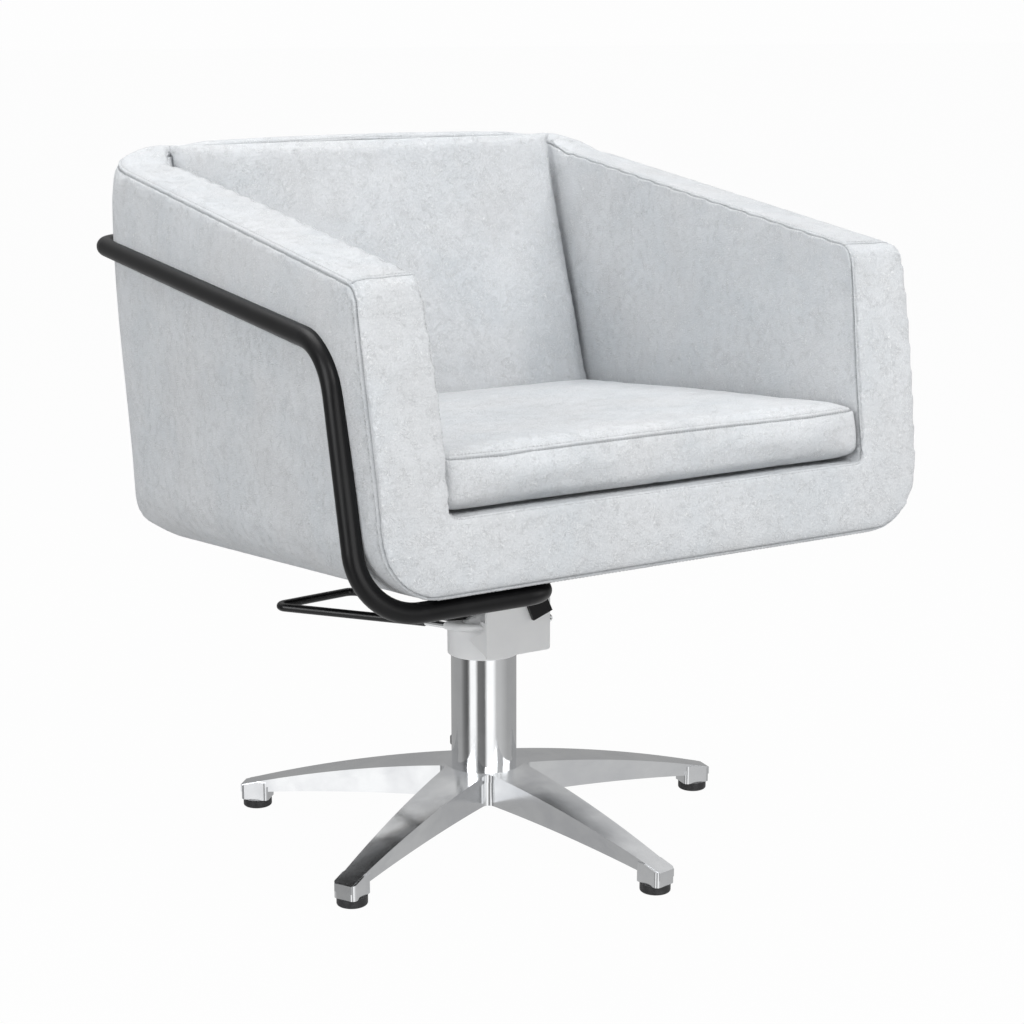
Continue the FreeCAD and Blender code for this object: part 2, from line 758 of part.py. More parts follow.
def bracket_bolts():
    """Bolts up through the bracket and the seat board's inserts, heads below."""
    under = -cover_t - bracket_t
    bolts = []
    for x, y in bracket_bolt_places():
        d = tub_front_overhang + y
        shank = disc(bolt_r, under, board_foot + board_t, x, d)
        head = disc(bolt_head_r, under - bolt_head_h, under, x, d)
        bolts.append(tub_place(head.fuse(shank).removeSplitter()))
    return bolts


def cheek_bolts():
    z0 = head_top_z
    head_z = z0 + flange_h + bracket_t
    return [disc(bolt_r, z0, head_z, x, y).fuse(
        disc(bolt_head_r, head_z, head_z + bolt_head_h, x, y)).removeSplitter()
        for x, y in cheek_bolt_places()]


def bracket_strap():
    """A leaning strap welded under the bracket, down past the front of the guard."""
    y1 = guard_front_y - strap_gap
    top_z = tub_point(0, tub_front_overhang + y1, -cover_t - bracket_t / 2).z
    lean = math.radians(strap_lean_deg)
    half = strap_w / 2 / math.cos(lean)
    drop = strap_w * math.sin(lean)
    shift = (top_z - strap_foot_z) * math.tan(lean)
    outline = [V(strap_x - half, y1, strap_foot_z - drop / 2), V(strap_x + half, y1, strap_foot_z + drop / 2),
               V(strap_x + half - shift, y1, top_z), V(strap_x - half - shift, y1, top_z)]
    strap = prism(outline, V(0, -strap_t, 0))
    above = tub_place(block(-bracket_half_x, bracket_half_x, 0, tub_depth,
                            -cover_t - bracket_t - fit_gap, reach))
    return strap.cut(above)


# ---- Tub: upholstered panels in their own upright frame ----
webbing_top = cushion_foot - seam_gap


def side_outline(x, climb):
    """The tub's side view, as a wire at x. The top climbs to the rear as an arm does, or is as high as
    the back."""
    foot_front, foot_rear = V(x, 0, 0), V(x, tub_depth, 0)
    top_front = V(x, tub_front_lean, tub_front_h + arm_crest)
    if climb:
        climb_foot = V(x, climb_front_d, arm_line(climb_front_d) + arm_crest)
        rear_h = tub_rear_h + arm_rear_crest
        points = [foot_front, top_front, climb_foot, V(x, climb_rear_d, rear_h),
                  V(x, tub_depth, rear_h), foot_rear]
        radii = [tub_edge_r, tub_front_top_r, climb_r, climb_r, tub_edge_r, tub_rear_bottom_r]
    else:
        points = [foot_front, top_front, V(x, tub_depth, tub_rear_h + back_crest), foot_rear]
        radii = [tub_edge_r, tub_front_top_r, tub_edge_r, tub_rear_bottom_r]
    return bent_closed(points, radii)


def arm_line(depth):
    """Height of an arm's sewn edge along its slope."""
    return tub_front_h + side_slope * (depth - tub_front_lean)


def bent_closed(points, radii):
    """A closed outline through the points, with an arc of the given radius at each."""
    n, edges, joins = len(points), [], []
    for i in range(n):
        a, b, c = points[i - 1], points[i], points[(i + 1) % n]
        back, ahead = (a - b).normalize(), (c - b).normalize()
        half = back.getAngle(ahead) / 2
        cut = radii[i] / math.tan(half)
        middle = (back + ahead).normalize()
        p, q = b + back * cut, b + ahead * cut
        crown = b + middle * (radii[i] / math.sin(half) - radii[i])
        joins.append((p, crown, q))
    for i in range(n):
        p, crown, q = joins[i]
        edges.append(Part.Arc(p, crown, q).toShape())
        edges.append(Part.LineSegment(q, joins[(i + 1) % n][0]).toShape())
    return Part.Wire(edges)


def tub_outer(climb):
    """The whole tub's outside: its side view, cut to its rounded front view and plan."""
    side = Part.Face(side_outline(-half_w - reach, climb)).extrude(V(tub_width + 2 * reach, 0, 0))
    high = tub_rear_h + reach
    front = Part.Face(bent_closed(
        [V(-half_w, -reach, 0), V(-half_w, -reach, high), V(half_w, -reach, high), V(half_w, -reach, 0)],
        [tub_bottom_r, tub_edge_r, tub_edge_r, tub_bottom_r])).extrude(V(0, tub_depth + 2 * reach, 0))
    plan = Part.Face(bent_closed(
        [V(-half_w, -reach, -reach), V(half_w, -reach, -reach),
         V(half_w, tub_depth, -reach), V(-half_w, tub_depth, -reach)],
        [tub_edge_r, tub_edge_r, tub_rear_corner_r, tub_rear_corner_r])).extrude(V(0, 0, high + 2 * reach))
    return side.common(front).common(plan)


def back_front_plane(offset):
    """Depth of the back's front face at the seat and at the top, with the pad's thickness taken off."""
    return tub_depth - back_seat_t - offset, tub_depth - back_top_t - offset


def slab_between(x0, x1, corners):
    return prism([V(x0, d, h) for d, h in corners], V(x1 - x0, 0, 0))


def arm_upholstery(side):
    """One padded arm: foam and cover round its timber core."""
    x0, x1 = sorted((side * inner_w, side * (half_w + reach)))
    body = tub_outer(True).common(block(x0, x1, -reach, tub_depth + reach, -reach, tub_rear_h + reach))
    return body.cut(arm_core_space(side, 0))


def arm_core_space(side, shrink):
    """The flat board inside an arm, open to the arm's underside for its fixing."""
    middle = side * (inner_w + arm_w / 2)
    t = core_t / 2 - shrink
    front = tub_front_lean + core_margin + shrink
    rear = tub_depth - tub_rear_corner_r - shrink
    foot = board_foot + board_t
    top_front = tub_front_h - core_margin - shrink
    top_rear = top_front + side_slope * (rear - front)
    return slab_between(middle - t, middle + t,
                        [(front, foot), (front, top_front), (rear, top_rear), (rear, foot)])


def back_shell():
    """The padded back behind the pad, between the arms."""
    seat_d, top_d = back_front_plane(0)
    body = tub_outer(False).common(
        block(-inner_w + seam_gap, inner_w - seam_gap, 0, tub_depth + reach, -reach, tub_rear_h + reach))
    keep = slab_between(-half_w, half_w, [(seat_d, 0), (seat_d, cushion_foot), (top_d, tub_rear_h + reach),
                                          (tub_depth + reach, tub_rear_h + reach), (tub_depth + reach, 0)])
    return body.common(keep).cut(back_core_space(0))


def back_core_space(shrink):
    x = inner_w - core_margin - shrink
    seat_d = tub_depth - back_seat_t + core_margin
    rear = tub_depth - core_skin - shrink
    top = tub_rear_h - back_core_drop - shrink
    lean_d = seat_d + (back_seat_t - back_top_t) * (top / tub_rear_h)
    foot = board_foot + board_t
    return slab_between(-x, x, [(seat_d + shrink, foot), (rear, foot), (rear, top),
                                (min(lean_d, rear - core_skin) + shrink, top)])


def pad_front(height):
    """Depth of the back pad's front face at a height."""
    foot_d = tub_depth - back_seat_t - pad_foot_t
    return foot_d + (pad_top_d - foot_d) * (height - cushion_foot) / (pad_top_h - cushion_foot)


def back_pad():
    """The leaning pad in front of the back, from the cushion's rear edge to the top band."""
    seat_d, top_d = back_front_plane(seam_gap)
    share = (pad_top_h - cushion_foot) / (tub_rear_h + reach - cushion_foot)
    rear_top = seat_d + (top_d - seat_d) * share
    x = inner_w - seam_gap
    return slab_between(-x, x, [(seat_d, cushion_foot), (rear_top, pad_top_h),
                                (pad_front(pad_top_h), pad_top_h), (pad_front(cushion_foot), cushion_foot)])


def front_rail():
    """The padded rail under the cushion's front edge."""
    body = tub_outer(False).common(
        block(-inner_w + seam_gap, inner_w - seam_gap, -reach, rail_depth, -reach, rail_h))
    return body.cut(front_core_space(0))


def front_core_space(shrink):
    x = inner_w - core_margin - shrink
    return block(-x, x, core_margin + shrink, rail_depth - rail_core_skin - shrink,
                 board_foot + board_t, rail_h - core_margin - shrink)


def seat_board():
    """Plywood base of the tub, with holes for the bracket's inserts."""
    x, d0, d1 = inner_w - board_in, rail_depth + seam_gap, tub_depth - back_seat_t - seam_gap
    board = block(-x, x, d0, d1, board_foot, board_foot + board_t)
    for bx, by in bracket_bolt_places():
        hole = disc(bolt_r + insert_wall, -reach, board_foot + board_t + reach, bx, tub_front_overhang + by)
        board = board.cut(hole)
    return board


def threaded_inserts():
    inserts = []
    for x, y in bracket_bolt_places():
        d = tub_front_overhang + y
        sleeve = disc(bolt_r + insert_wall, board_foot, board_foot + board_t, x, d)
        thread = disc(bolt_r + fit_gap, board_foot - 1, board_foot + board_t + 1, x, d)
        inserts.append(tub_place(sleeve.cut(thread)))
    return inserts


def seat_rails():
    """Timber rails on the board that carry the webbing."""
    x, d0, d1 = inner_w - board_in, rail_depth + seam_gap, tub_depth - back_seat_t - seam_gap
    z0, z1 = board_foot + board_t, webbing_top - webbing_t
    outer = block(-x, x, d0, d1, z0, z1)
    return outer.cut(block(-x + rail_t, x - rail_t, d0 + rail_t, d1 - rail_t, z0 - 1, z1 + 1))


def webbing():
    """Elastic straps stapled across the rails."""
    x = inner_w - webbing_in
    d0, d1 = rail_depth + rail_t, tub_depth - back_seat_t - rail_t
    z0 = webbing_top - webbing_t
    pitch = (d1 - d0 - webbing_w) / (webbing_rows - 1)
    return [tub_place(block(-x, x, d0 + i * pitch, d0 + i * pitch + webbing_w, z0, z0 + webbing_t))
            for i in range(webbing_rows)]


def dust_cover():
    """Black cloth stapled under the tub."""
    x = inner_w - 2
    cover = block(-x, x, cover_front_d, tub_depth - tub_rear_bottom_r, -cover_t, 0)
    for bx, by in bracket_bolt_places():
        cover = cover.cut(disc(bolt_r + cover_hole_gap, -reach, reach, bx, tub_front_overhang + by))
    return cover


def seat_cushion():
    """Boxed loose cushion with softened edges."""
    x = inner_w - cushion_gap_side
    rear_foot = pad_front(cushion_foot) - cushion_gap_rear
    rear_top = pad_front(cushion_top + cushion_rear_rise) - cushion_gap_rear
    body = slab_between(-x, x, [(cushion_front_in, cushion_foot), (cushion_front_in, cushion_top),
                                (rear_top, cushion_top + cushion_rear_rise), (rear_foot, cushion_foot)])
    lengthwise = edges_where(body, lambda e: abs(e.Vertexes[0].X - e.Vertexes[1].X) > 1
                             and e.Vertexes[0].Y < rail_depth)
    return body.makeFillet(cushion_edge_r, lengthwise)


# ---- Frame tube ----
def tube_centre_lines():
    """Three bent lengths: left and right sides with their returns under the seat, and the rear run."""
    x = half_w + tube_stand_off + tube_r
    rear_d = tub_depth + tube_stand_off + tube_r
    under = -cover_t - tube_r - tube_stand_off
    end_d = tub_front_overhang - bracket_half_y - fit_gap
    slope = (tube_side_rear_h - tube_side_front[1]) / (tub_depth - tube_side_front[0])
    rear_h = tube_side_front[1] + slope * (rear_d - tube_side_front[0])
    lines = {}
    for name, side, shift in (("left", -1, 0.0), ("right", 1, tube_right_shift)):
        knee_d = tube_leg_top[0] + shift
        knee_h = tube_side_front[1] + slope * (knee_d - tube_side_front[0])
        foot_d = tube_leg_foot[0] + shift - (tube_leg_foot[1] - under) * leg_lean()
        points = [tub_point(side * tube_joint_x, rear_d, rear_h), tub_point(side * x, rear_d, rear_h),
                  tub_point(side * x, knee_d, knee_h), tub_point(side * x, foot_d, under),
                  tub_point(side * tube_return_x, foot_d, under),
                  tub_point(side * tube_return_x, end_d, under)]
        lines[name] = bent_path(points, [tube_rear_r, tube_bend_r, tube_corner_r, tube_return_r])
    a, b = tub_point(-tube_joint_x, rear_d, rear_h), tub_point(tube_joint_x, rear_d, rear_h)
    lines["rear"] = Part.Wire(Part.LineSegment(a, b).toShape())
    return lines


def leg_lean():
    return (tube_leg_top[0] - tube_leg_foot[0]) / (tube_leg_top[1] - tube_leg_foot[1])


def frame_tube(line):
    return rod_along(line, tube_r).cut(rod_along(line, tube_r - tube_wall))


def tube_spigots():
    """Short plugs inside the tube's two joints."""
    rear = tube_centre_lines()["rear"]
    ends = [v.Point for v in rear.OrderedVertexes]
    half = V(spigot_len / 2, 0, 0)
    return [Part.makeCylinder(tube_r - tube_wall - fit_gap, spigot_len, p - half, V(1, 0, 0)) for p in ends]


# ---- Write every sub-part ----
save("base_casting", base_casting())
for number, pad in enumerate(foot_pads(), 1):
    save("foot_pad_%d" % number, pad)
save("pad_studs", group(pad_studs()))
save("column_tube", column_tube())
save("column_plug", column_plug())
save("hub_screw", hub_screw())
save("lift_rod", lift_rod())
save("lift_piston", lift_piston())
save("piston_seal", piston_seal())
save("guide_bush", guide_bush())
save("wiper_ring", wiper_ring())
save("ram_tube", ram_tube())
save("rod_gland", rod_gland())
save("stop_ring", stop_ring())
save("ram_cap", ram_cap())
save("thrust_washer", thrust_washer())
save("swivel_bush", swivel_bush())
save("pump_head", pump_head())
save("head_guard", head_guard())
save("head_flange", head_flange())
save("flange_screws", group(flange_screws()))
save("pump_barrel", pump_barrel())
save("pump_plunger", pump_plunger())
save("pedal_shaft", pedal_shaft())
save("pedal_cam", pedal_cam())
save("shaft_nut", shaft_nut())
save("pedal_sleeve", pedal_sleeve())
save("pedal_rod", pedal_rod())
save("pedal_grip", pedal_grip())
save("lever_stop", lever_stop())
save("shaft_bushes", group(shaft_bushes()))
save("torsion_spring", group(torsion_spring()))
save("plunger_spring", group(plunger_spring()))
save("seat_bracket", seat_bracket())
save("bracket_bolts", group(bracket_bolts()))
save("cheek_bolts", group(cheek_bolts()))
save("bracket_strap", bracket_strap())
save("arm_left", tub_place(arm_upholstery(-1)))
save("arm_right", tub_place(arm_upholstery(1)))
save("arm_core_left", tub_place(arm_core_space(-1, fit_gap)))
save("arm_core_right", tub_place(arm_core_space(1, fit_gap)))
save("back_shell", tub_place(back_shell()))
save("back_core", tub_place(back_core_space(fit_gap)))
save("back_pad", tub_place(back_pad()))
save("front_rail", tub_place(front_rail()))
save("front_rail_core", tub_place(front_core_space(fit_gap)))
save("seat_board", tub_place(seat_board()))
save("threaded_inserts", group(threaded_inserts()))
save("seat_rails", tub_place(seat_rails()))
save("webbing", group(webbing()))
save("dust_cover", tub_place(dust_cover()))
save("seat_cushion", tub_place(seat_cushion()))
for name, line in tube_centre_lines().items():
    save("frame_tube_" + name, frame_tube(line))
save("tube_spigots", group(tube_spigots()))
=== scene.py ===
import bpy
import bmesh
import math
import numpy as np
from mathutils import Matrix, Vector
from mathutils.bvhtree import BVHTree
from mathutils.kdtree import KDTree


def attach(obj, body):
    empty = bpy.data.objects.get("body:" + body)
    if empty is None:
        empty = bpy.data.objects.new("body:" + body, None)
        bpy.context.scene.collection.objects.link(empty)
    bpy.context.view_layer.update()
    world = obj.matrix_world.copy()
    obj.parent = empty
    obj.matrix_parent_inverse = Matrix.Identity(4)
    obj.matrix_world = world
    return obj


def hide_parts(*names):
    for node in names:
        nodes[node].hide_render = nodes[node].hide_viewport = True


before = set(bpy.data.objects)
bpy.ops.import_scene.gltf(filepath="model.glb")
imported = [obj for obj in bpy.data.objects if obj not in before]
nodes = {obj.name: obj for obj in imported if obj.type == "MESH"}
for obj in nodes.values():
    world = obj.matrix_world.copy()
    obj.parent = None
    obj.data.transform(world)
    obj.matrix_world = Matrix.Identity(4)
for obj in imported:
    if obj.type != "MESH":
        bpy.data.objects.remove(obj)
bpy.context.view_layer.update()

scene = bpy.context.scene

# ---------------------------------------------------------------------------
# Floor and light. A pale seamless studio sweep, a soft key from the front and
# above, fills from the left, the right and low in front, a panel over the
# back, and the soft boxes and dark flags that polished metal mirrors.
# ---------------------------------------------------------------------------
scene.view_settings.view_transform = "Standard"


def mesh_object(name, vertices, faces):
    mesh = bpy.data.meshes.new(name)
    mesh.from_pydata([tuple(v) for v in vertices], [], faces)
    mesh.update()
    obj = bpy.data.objects.new(name, mesh)
    scene.collection.objects.link(obj)
    return obj


def new_material(name):
    """A material with one Principled BSDF, and its node tree."""
    material = bpy.data.materials.new(name)
    material.use_nodes = True
    return material, material.node_tree, material.node_tree.nodes["Principled BSDF"]


sweep_r = 60.0
floor_corners = [(x * sweep_r, y * sweep_r, 0) for x, y in ((-1, -1), (1, -1), (1, 1), (-1, 1))]
floor = mesh_object("studio_floor", floor_corners, [(0, 1, 2, 3)])
floor_material, floor_tree, floor_shader = new_material("studio_paper")
floor_shader.inputs["Base Color"].default_value = (0.30, 0.30, 0.30, 1)
floor_shader.inputs["Roughness"].default_value = 0.9
floor_shader.inputs["Specular IOR Level"].default_value = 0.0
floor_shader.inputs["Emission Color"].default_value = (1, 1, 1, 1)
floor_shader.inputs["Emission Strength"].default_value = 0.22
floor_white = floor_tree.nodes.new("ShaderNodeEmission")
floor_white.inputs["Color"].default_value = (1, 1, 1, 1)
floor_share = floor_tree.nodes.new("ShaderNodeMath")
floor_share.operation = "MULTIPLY"
floor_share.inputs[1].default_value = 0.97
floor_ray = floor_tree.nodes.new("ShaderNodeLightPath")
floor_tree.links.new(floor_ray.outputs["Is Camera Ray"], floor_share.inputs[0])
floor_mix = floor_tree.nodes.new("ShaderNodeMixShader")
floor_tree.links.new(floor_share.outputs[0], floor_mix.inputs[0])
floor_tree.links.new(floor_shader.outputs[0], floor_mix.inputs[1])
floor_tree.links.new(floor_white.outputs[0], floor_mix.inputs[2])
floor_tree.links.new(floor_mix.outputs[0], floor_tree.nodes["Material Output"].inputs["Surface"])
floor.data.materials.append(floor_material)
floor.visible_glossy = False

world = bpy.data.worlds.new("studio_world")
world.use_nodes = True
scene.world = world
sky = world.node_tree
sky_out = sky.nodes["World Output"]


def glow(colour, strength=1.0):
    node = sky.nodes.new("ShaderNodeBackground")
    node.inputs["Color"].default_value = (*colour, 1)
    node.inputs["Strength"].default_value = strength
    return node


sky_ray = sky.nodes.new("ShaderNodeLightPath")
sky_split = sky.nodes.new("ShaderNodeSeparateXYZ")
sky.links.new(sky.nodes.new("ShaderNodeTexCoord").outputs["Generated"], sky_split.inputs[0])
sky_turn = sky.nodes.new("ShaderNodeMath")
sky_turn.operation = "ARCTAN2"
sky.links.new(sky_split.outputs["Y"], sky_turn.inputs[0])
sky.links.new(sky_split.outputs["X"], sky_turn.inputs[1])
sky_share = sky.nodes.new("ShaderNodeMapRange")
sky_share.inputs["From Min"].default_value = -math.pi
sky_share.inputs["From Max"].default_value = math.pi
sky.links.new(sky_turn.outputs[0], sky_share.inputs["Value"])


def sky_ramp(value, stops):
    node = sky.nodes.new("ShaderNodeValToRGB")
    sky.links.new(value, node.inputs["Fac"])
    for _ in stops[2:]:
        node.color_ramp.elements.new(0.5)
    for element, (place, bright) in zip(node.color_ramp.elements, stops):
        element.position = place
        element.color = (bright, bright, bright, 1)
    return node.outputs["Color"]


# what polished metal sees: soft boxes and dark flags, by the share of a full turn
# from -X by way of -Y, +X and +Y
flags = sky_ramp(sky_share.outputs["Result"], [
    (0.00, 0.16), (0.012, 0.24), (0.035, 1.15), (0.080, 1.15), (0.108, 0.19), (0.172, 0.15), (0.200, 1.2),
    (0.255, 1.2), (0.290, 0.58), (0.330, 0.55), (0.420, 0.38), (0.66, 0.38), (0.92, 0.36), (0.965, 0.16),
    (1.0, 0.10)])
sky_height = sky.nodes.new("ShaderNodeMapRange")
sky_height.inputs["From Min"].default_value = -1.0
sky.links.new(sky_split.outputs["Z"], sky_height.inputs["Value"])
overhead = sky_ramp(sky_height.outputs["Result"], [
    (0.0, 0.85), (0.22, 0.85), (0.34, 0.0), (0.68, 0.0), (0.90, 1.0)])
sky_lift = sky.nodes.new("ShaderNodeMix")
sky_lift.data_type = "RGBA"
sky_lift.inputs[7].default_value = (0.95, 0.95, 0.95, 1)
sky.links.new(overhead, sky_lift.inputs[0])
sky.links.new(flags, sky_lift.inputs[6])
sky_mirror = glow((1, 1, 1))
sky.links.new(sky_lift.outputs[2], sky_mirror.inputs["Color"])
sky_gloss = sky.nodes.new("ShaderNodeMixShader")
sky.links.new(sky_ray.outputs["Is Glossy Ray"], sky_gloss.inputs[0])
sky.links.new(glow((0.96, 0.98, 1.0), 0.16).outputs[0], sky_gloss.inputs[1])
sky.links.new(sky_mirror.outputs[0], sky_gloss.inputs[2])
sky_seen = sky.nodes.new("ShaderNodeMixShader")
sky.links.new(sky_ray.outputs["Is Camera Ray"], sky_seen.inputs[0])
sky.links.new(sky_gloss.outputs[0], sky_seen.inputs[1])
sky.links.new(glow((0.985, 0.985, 0.985)).outputs[0], sky_seen.inputs[2])
sky.links.new(sky_seen.outputs[0], sky_out.inputs["Surface"])


def soft_light(name, place, aim, size, power, colour=(1, 1, 1)):
    data = bpy.data.lights.new(name, "AREA")
    data.shape = "RECTANGLE"
    data.size, data.size_y = size
    data.energy = power
    data.color = colour
    lamp = bpy.data.objects.new(name, data)
    scene.collection.objects.link(lamp)
    lamp.location = place
    lamp.rotation_euler = (Vector(aim) - Vector(place)).to_track_quat("-Z", "Y").to_euler()


chair_middle = (0, 0, 0.45)
soft_light("key_softbox", (0.6, -2.4, 3.0), chair_middle, (2.4, 1.8), 76)
soft_light("left_fill", (-3.2, -0.8, 1.6), chair_middle, (1.8, 2.4), 60, (0.98, 0.99, 1.0))
soft_light("front_low", (-0.3, -3.0, 0.7), chair_middle, (2.4, 1.2), 21)
soft_light("right_fill", (2.6, -1.8, 1.0), chair_middle, (1.8, 1.8), 14)
soft_light("top_panel", (-0.1, 0.9, 2.8), chair_middle, (2.6, 2.0), 48)

# ---------------------------------------------------------------------------
# Camera. A long lens, a little higher than the back of the tub, from the
# chair's front left.
# ---------------------------------------------------------------------------
camera_data = bpy.data.cameras.new("camera")
camera_data.lens = 75.62
camera_data.sensor_width = 36.0
camera = bpy.data.objects.new("camera", camera_data)
scene.collection.objects.link(camera)
camera.location = (-1.2333, -2.0577, 0.9264)
camera_aim = Vector((0.0280, -0.0173, 0.3750))
camera.rotation_euler = (camera_aim - camera.location).to_track_quat("-Z", "Y").to_euler()
scene.camera = camera

# ---------------------------------------------------------------------------
# Star base. One aluminium casting, ground and polished nearly mirror bright,
# with the soft cloudiness and slight waviness that hand polishing leaves.
# ---------------------------------------------------------------------------


def group_sockets(name, inputs, outputs):
    """An empty shader group with inputs given as (name, value) and named outputs."""
    tree = bpy.data.node_groups.new(name, "ShaderNodeTree")
    for label, value in inputs:
        socket = tree.interface.new_socket(name=label, in_out="INPUT", socket_type="NodeSocketFloat")
        socket.default_value = value
    for label in outputs:
        tree.interface.new_socket(name=label, in_out="OUTPUT", socket_type="NodeSocketFloat")
    return tree, tree.nodes.new("NodeGroupInput"), tree.nodes.new("NodeGroupOutput")


def noise(tree, vector, scale, detail=4.0, rough=0.55, distort=0.0):
    node = tree.nodes.new("ShaderNodeTexNoise")
    node.inputs["Detail"].default_value = detail
    node.inputs["Roughness"].default_value = rough
    node.inputs["Distortion"].default_value = distort
    if isinstance(scale, (int, float)):
        node.inputs["Scale"].default_value = scale
    else:
        tree.links.new(scale, node.inputs["Scale"])
    tree.links.new(vector, node.inputs["Vector"])
    return node.outputs["Fac"]


def remap(tree, value, low, high, to_low=0.0, to_high=1.0):
    node = tree.nodes.new("ShaderNodeMapRange")
    node.inputs["From Min"].default_value = low
    node.inputs["From Max"].default_value = high
    node.inputs["To Min"].default_value = to_low
    node.inputs["To Max"].default_value = to_high
    tree.links.new(value, node.inputs["Value"])
    return node.outputs["Result"]


def arithmetic(tree, operation, a, b=None, c=None):
    node = tree.nodes.new("ShaderNodeMath")
    node.operation = operation
    for socket, value in zip(node.inputs, (a, b, c)):
        if value is None:
            continue
        if isinstance(value, (int, float)):
            socket.default_value = value
        else:
            tree.links.new(value, socket)
    return node.outputs[0]


def blend_colours(tree, mask, first, second):
    node = tree.nodes.new("ShaderNodeMix")
    node.data_type = "RGBA"
    tree.links.new(mask, node.inputs["Factor"])
    pair = [s for s in node.inputs if s.type == "RGBA"]
    for socket, value in zip(pair, (first, second)):
        if isinstance(value, tuple):
            socket.default_value = (*value, 1)
        else:
            tree.links.new(value, socket)
    return [s for s in node.outputs if s.type == "RGBA"][0]


def bump_from(tree, height, distance, strength=1.0):
    node = tree.nodes.new("ShaderNodeBump")
    node.inputs["Distance"].default_value = distance
    node.inputs["Strength"].default_value = strength
    tree.links.new(height, node.inputs["Height"])
    return node.outputs["Normal"]


def place_group(tree, group, **values):
    node = tree.nodes.new("ShaderNodeGroup")
    node.node_tree = group
    for label, value in values.items():
        node.inputs[label.replace("_", " ")].default_value = value
    return node


def polish_group():
    """Hand polish: soft cloudiness, hairlines that follow the mop, and a slight cast waviness."""
    tree, given, out = group_sockets("hand_polish", [("Cloud scale", 18.0), ("Hairlines", 1.0)],
                                     ["Clouds", "Scratches", "Height"])
    place = tree.nodes.new("ShaderNodeTexCoord").outputs["Object"]
    clouds = remap(tree, noise(tree, place, given.outputs["Cloud scale"], 3.0), 0.35, 0.68)
    stretch = tree.nodes.new("ShaderNodeMapping")
    stretch.inputs["Scale"].default_value = (900, 900, 60)
    tree.links.new(place, stretch.inputs["Vector"])
    lines = remap(tree, noise(tree, stretch.outputs[0], 1.0, 2.0), 0.58, 0.75)
    lines = arithmetic(tree, "MULTIPLY", lines, given.outputs["Hairlines"])
    height = arithmetic(tree, "MULTIPLY_ADD", lines, -0.15, noise(tree, place, 30.0, 2.0))
    tree.links.new(clouds, out.inputs["Clouds"])
    tree.links.new(lines, out.inputs["Scratches"])
    tree.links.new(height, out.inputs["Height"])
    return tree


hand_polish = polish_group()


def metal_material(name, colour, dull_colour, rough, rough_dull, waviness, hairlines=1.0):
    """Bare or plated metal with the hand polish group's clouding."""
    material, tree, shader = new_material(name)
    marks = place_group(tree, hand_polish, Hairlines=hairlines)
    shader.inputs["Metallic"].default_value = 1.0
    dull = arithmetic(tree, "MAXIMUM", marks.outputs["Clouds"], marks.outputs["Scratches"])
    tree.links.new(blend_colours(tree, dull, colour, dull_colour), shader.inputs["Base Color"])
    tree.links.new(remap(tree, dull, 0, 1, rough, rough_dull), shader.inputs["Roughness"])
    tree.links.new(bump_from(tree, marks.outputs["Height"], waviness), shader.inputs["Normal"])
    return material


def paint(names, material):
    for name in names:
        for slot in nodes[name].material_slots:
            slot.material = material


def ease_edges(names, width, segments=2):
    """The small radius that casting, tumbling or paint leaves on a piece's edges."""
    for name in names:
        bevel = nodes[name].modifiers.new("eased_edges", "BEVEL")
        bevel.width = width
        bevel.segments = segments
        bevel.limit_method = "ANGLE"
        bevel.angle_limit = math.radians(32)
        bevel.harden_normals = False


polished_aluminium = metal_material("polished_aluminium", (0.84, 0.85, 0.86), (0.72, 0.73, 0.75),
                                    0.12, 0.22, 0.00015, hairlines=0.2)
paint(["base_casting"], polished_aluminium)
ease_edges(["base_casting"], 0.0024, 3)

# ---------------------------------------------------------------------------
# Glides. Five black moulded rubber feet on threaded studs, matt, with fine
# moulding grain and dusty scuffs. The lift's seal and wiper are rubber too.
# ---------------------------------------------------------------------------


def rubber_material(name, colour, scuffed, rough):
    material, tree, shader = new_material(name)
    place = tree.nodes.new("ShaderNodeTexCoord").outputs["Object"]
    scuffs = remap(tree, noise(tree, place, 90.0, 5.0, 0.7), 0.5, 0.8)
    tree.links.new(blend_colours(tree, scuffs, colour, scuffed), shader.inputs["Base Color"])
    tree.links.new(remap(tree, scuffs, 0, 1, rough, rough + 0.15), shader.inputs["Roughness"])
    tree.links.new(bump_from(tree, noise(tree, place, 1400.0, 2.0), 0.0001), shader.inputs["Normal"])
    return material


glides = ["foot_pad_%d" % i for i in range(1, 6)]
paint(glides, rubber_material("glide_rubber", (0.012, 0.012, 0.013), (0.045, 0.045, 0.047), 0.42))
seal_rubber = rubber_material("seal_rubber", (0.02, 0.02, 0.02), (0.06, 0.06, 0.06), 0.6)
paint(["piston_seal", "wiper_ring"], seal_rubber)

# ---------------------------------------------------------------------------
# Column and lift. A chromed steel tube on the hub's spigot; the ram, rod and
# their bushes work inside it and show only when the seat is raised.
# ---------------------------------------------------------------------------
bright_chrome = metal_material("bright_chrome", (0.86, 0.87, 0.88), (0.80, 0.81, 0.82),
                               0.05, 0.11, 0.0001, hairlines=0.6)
turned_steel = metal_material("turned_steel", (0.55, 0.55, 0.56), (0.42, 0.42, 0.44), 0.25, 0.42, 0.0002)
bearing_bronze = metal_material("bearing_bronze", (0.56, 0.38, 0.19), (0.42, 0.28, 0.15), 0.3, 0.5, 0.0002)
paint(["column_tube", "ram_tube"], bright_chrome)
paint(["column_plug", "hub_screw", "lift_rod", "lift_piston", "stop_ring", "ram_cap", "pad_studs",
       "flange_screws", "pump_barrel", "pump_plunger", "plunger_spring", "pedal_cam", "torsion_spring",
       "bracket_bolts", "cheek_bolts", "threaded_inserts", "tube_spigots", "pedal_shaft"], turned_steel)
paint(["guide_bush", "rod_gland", "thrust_washer", "swivel_bush", "shaft_bushes"], bearing_bronze)

